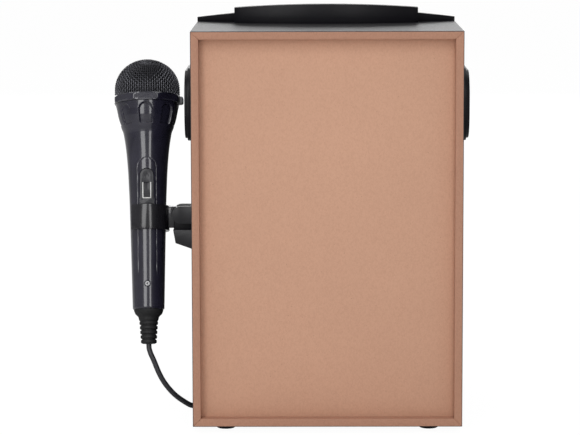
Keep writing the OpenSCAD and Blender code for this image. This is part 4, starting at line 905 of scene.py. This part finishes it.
bpy.context.scene.view_settings.view_transform = "Standard"
make_camera()
make_stage()
make_world()
softbox("lamp_rear", -22.5, 29, 2.4, 0.9, 2.7, 3.0)
softbox("lamp_rear_side", 13.5, 28, 2.6, 0.46, 2.9, 3.2)
softbox("lamp_front", 180, 13, 3.0, 3.2, 1.1, 2.0)
softbox("lamp_front_left", 140, 46, 2.6, 1.1, 1.2, 1.3)
softbox("lamp_front_right", -140, 46, 2.6, 1.1, 1.2, 1.3)
softbox("lamp_top", 180, 82, 2.6, 2.0, 2.0, 0.9)

mic_cord()
mic_body()
mic_dome()
mic_collar()
switch_frame()
block("clip_root", (124, 1, 152.6), (132.4, 13, 170.6), "cabinet", LOOKS["gloss_plastic"],
      1.6)
block("holder_root", (109.6, 0, 150.5), (127, 14, 160), "cabinet", LOOKS["black_plastic"])

# Every other node: its look and how far its edges are rounded, in millimetres
DRESS = {
    "top_board": ("vinyl_board", 0.5),
    "base_board": ("vinyl_board", 0.5),
    "left_board": ("vinyl_board", 0.5),
    "right_board": ("vinyl_board", 0.5),
    "rear_panel": ("bare_mdf", 0.12),
    "shelf_board": ("bare_mdf", 0.4),
    "front_fascia": ("black_plastic", 0.45),
    "top_console": ("black_plastic", 0.7),
    "display_window": ("window", 0.4),
    "display_module": ("display", 0.0),
    "light_ring": ("ring_clear", 0.5),
    "speaker_grille": ("grille_black", 0.35),
    "speaker_basket": ("black_plastic", 0.0),
    "speaker_surround": ("rubber", 0.0),
    "speaker_cone": ("cone_paper", 0.0),
    "speaker_magnet": ("magnet_steel", 0.5),
    "speaker_screws": ("screw_steel", 0.3),
    "loader_frame": ("black_plastic", 0.0),
    "disc_tray": ("black_plastic", 0.0),
    "tray_door": ("gloss_plastic", 0.6),
    "clamp_bridge": ("black_plastic", 0.3),
    "disc_clamp": ("white_plastic", 0.3),
    "spindle_platter": ("sled_plastic", 0.25),
    "pickup_chassis": ("magnet_steel", 0.0),
    "pickup_sled": ("sled_plastic", 0.3),
    "drive_gear": ("white_plastic", 0.0),
    "belt_wheel": ("white_plastic", 0.0),
    "motor_pulley": ("white_plastic", 0.2),
    "drive_belt": ("rubber", 0.15),
    "loading_motor": ("magnet_steel", 0.4),
    "main_board": ("circuit_board", 0.2),
    "control_board": ("circuit_board", 0.2),
    **{knob: ("knob_black", 0.3) for knob in KNOB_X},
    **{button: ("button_silver", 0.0) for button in BUTTONS},
    "power_button": ("button_red", 0.0),
    "media_ports": ("port_metal", 0.0),
    "mic_sockets": ("port_metal", 0.0),
    "side_jacks": ("black_plastic", 0.3),
    "carry_handles": ("black_plastic", 0.8),
    "feet": ("rubber", 0.6),
    "mic_holder": ("holder_plastic", 0.5),
    "mic_clip": ("gloss_plastic", 0.4),
    "mic_capsule": ("capsule", 0.0),
    "mic_switch_plate": ("mic_switch", 0.25),
    "mic_switch": ("mic_switch", 0.0),
    "mic_strain_relief": ("rubber", 0.3),
    "mic_plug": ("port_metal", 0.0),
}
# Each node takes its look, with its edges rounded where a width is given
for node, (look, width) in DRESS.items():
    if width:
        edged(node, LOOKS[look], width)
    else:
        nodes[node].data.materials.clear()
        nodes[node].data.materials.append(LOOKS[look])

front_marks()
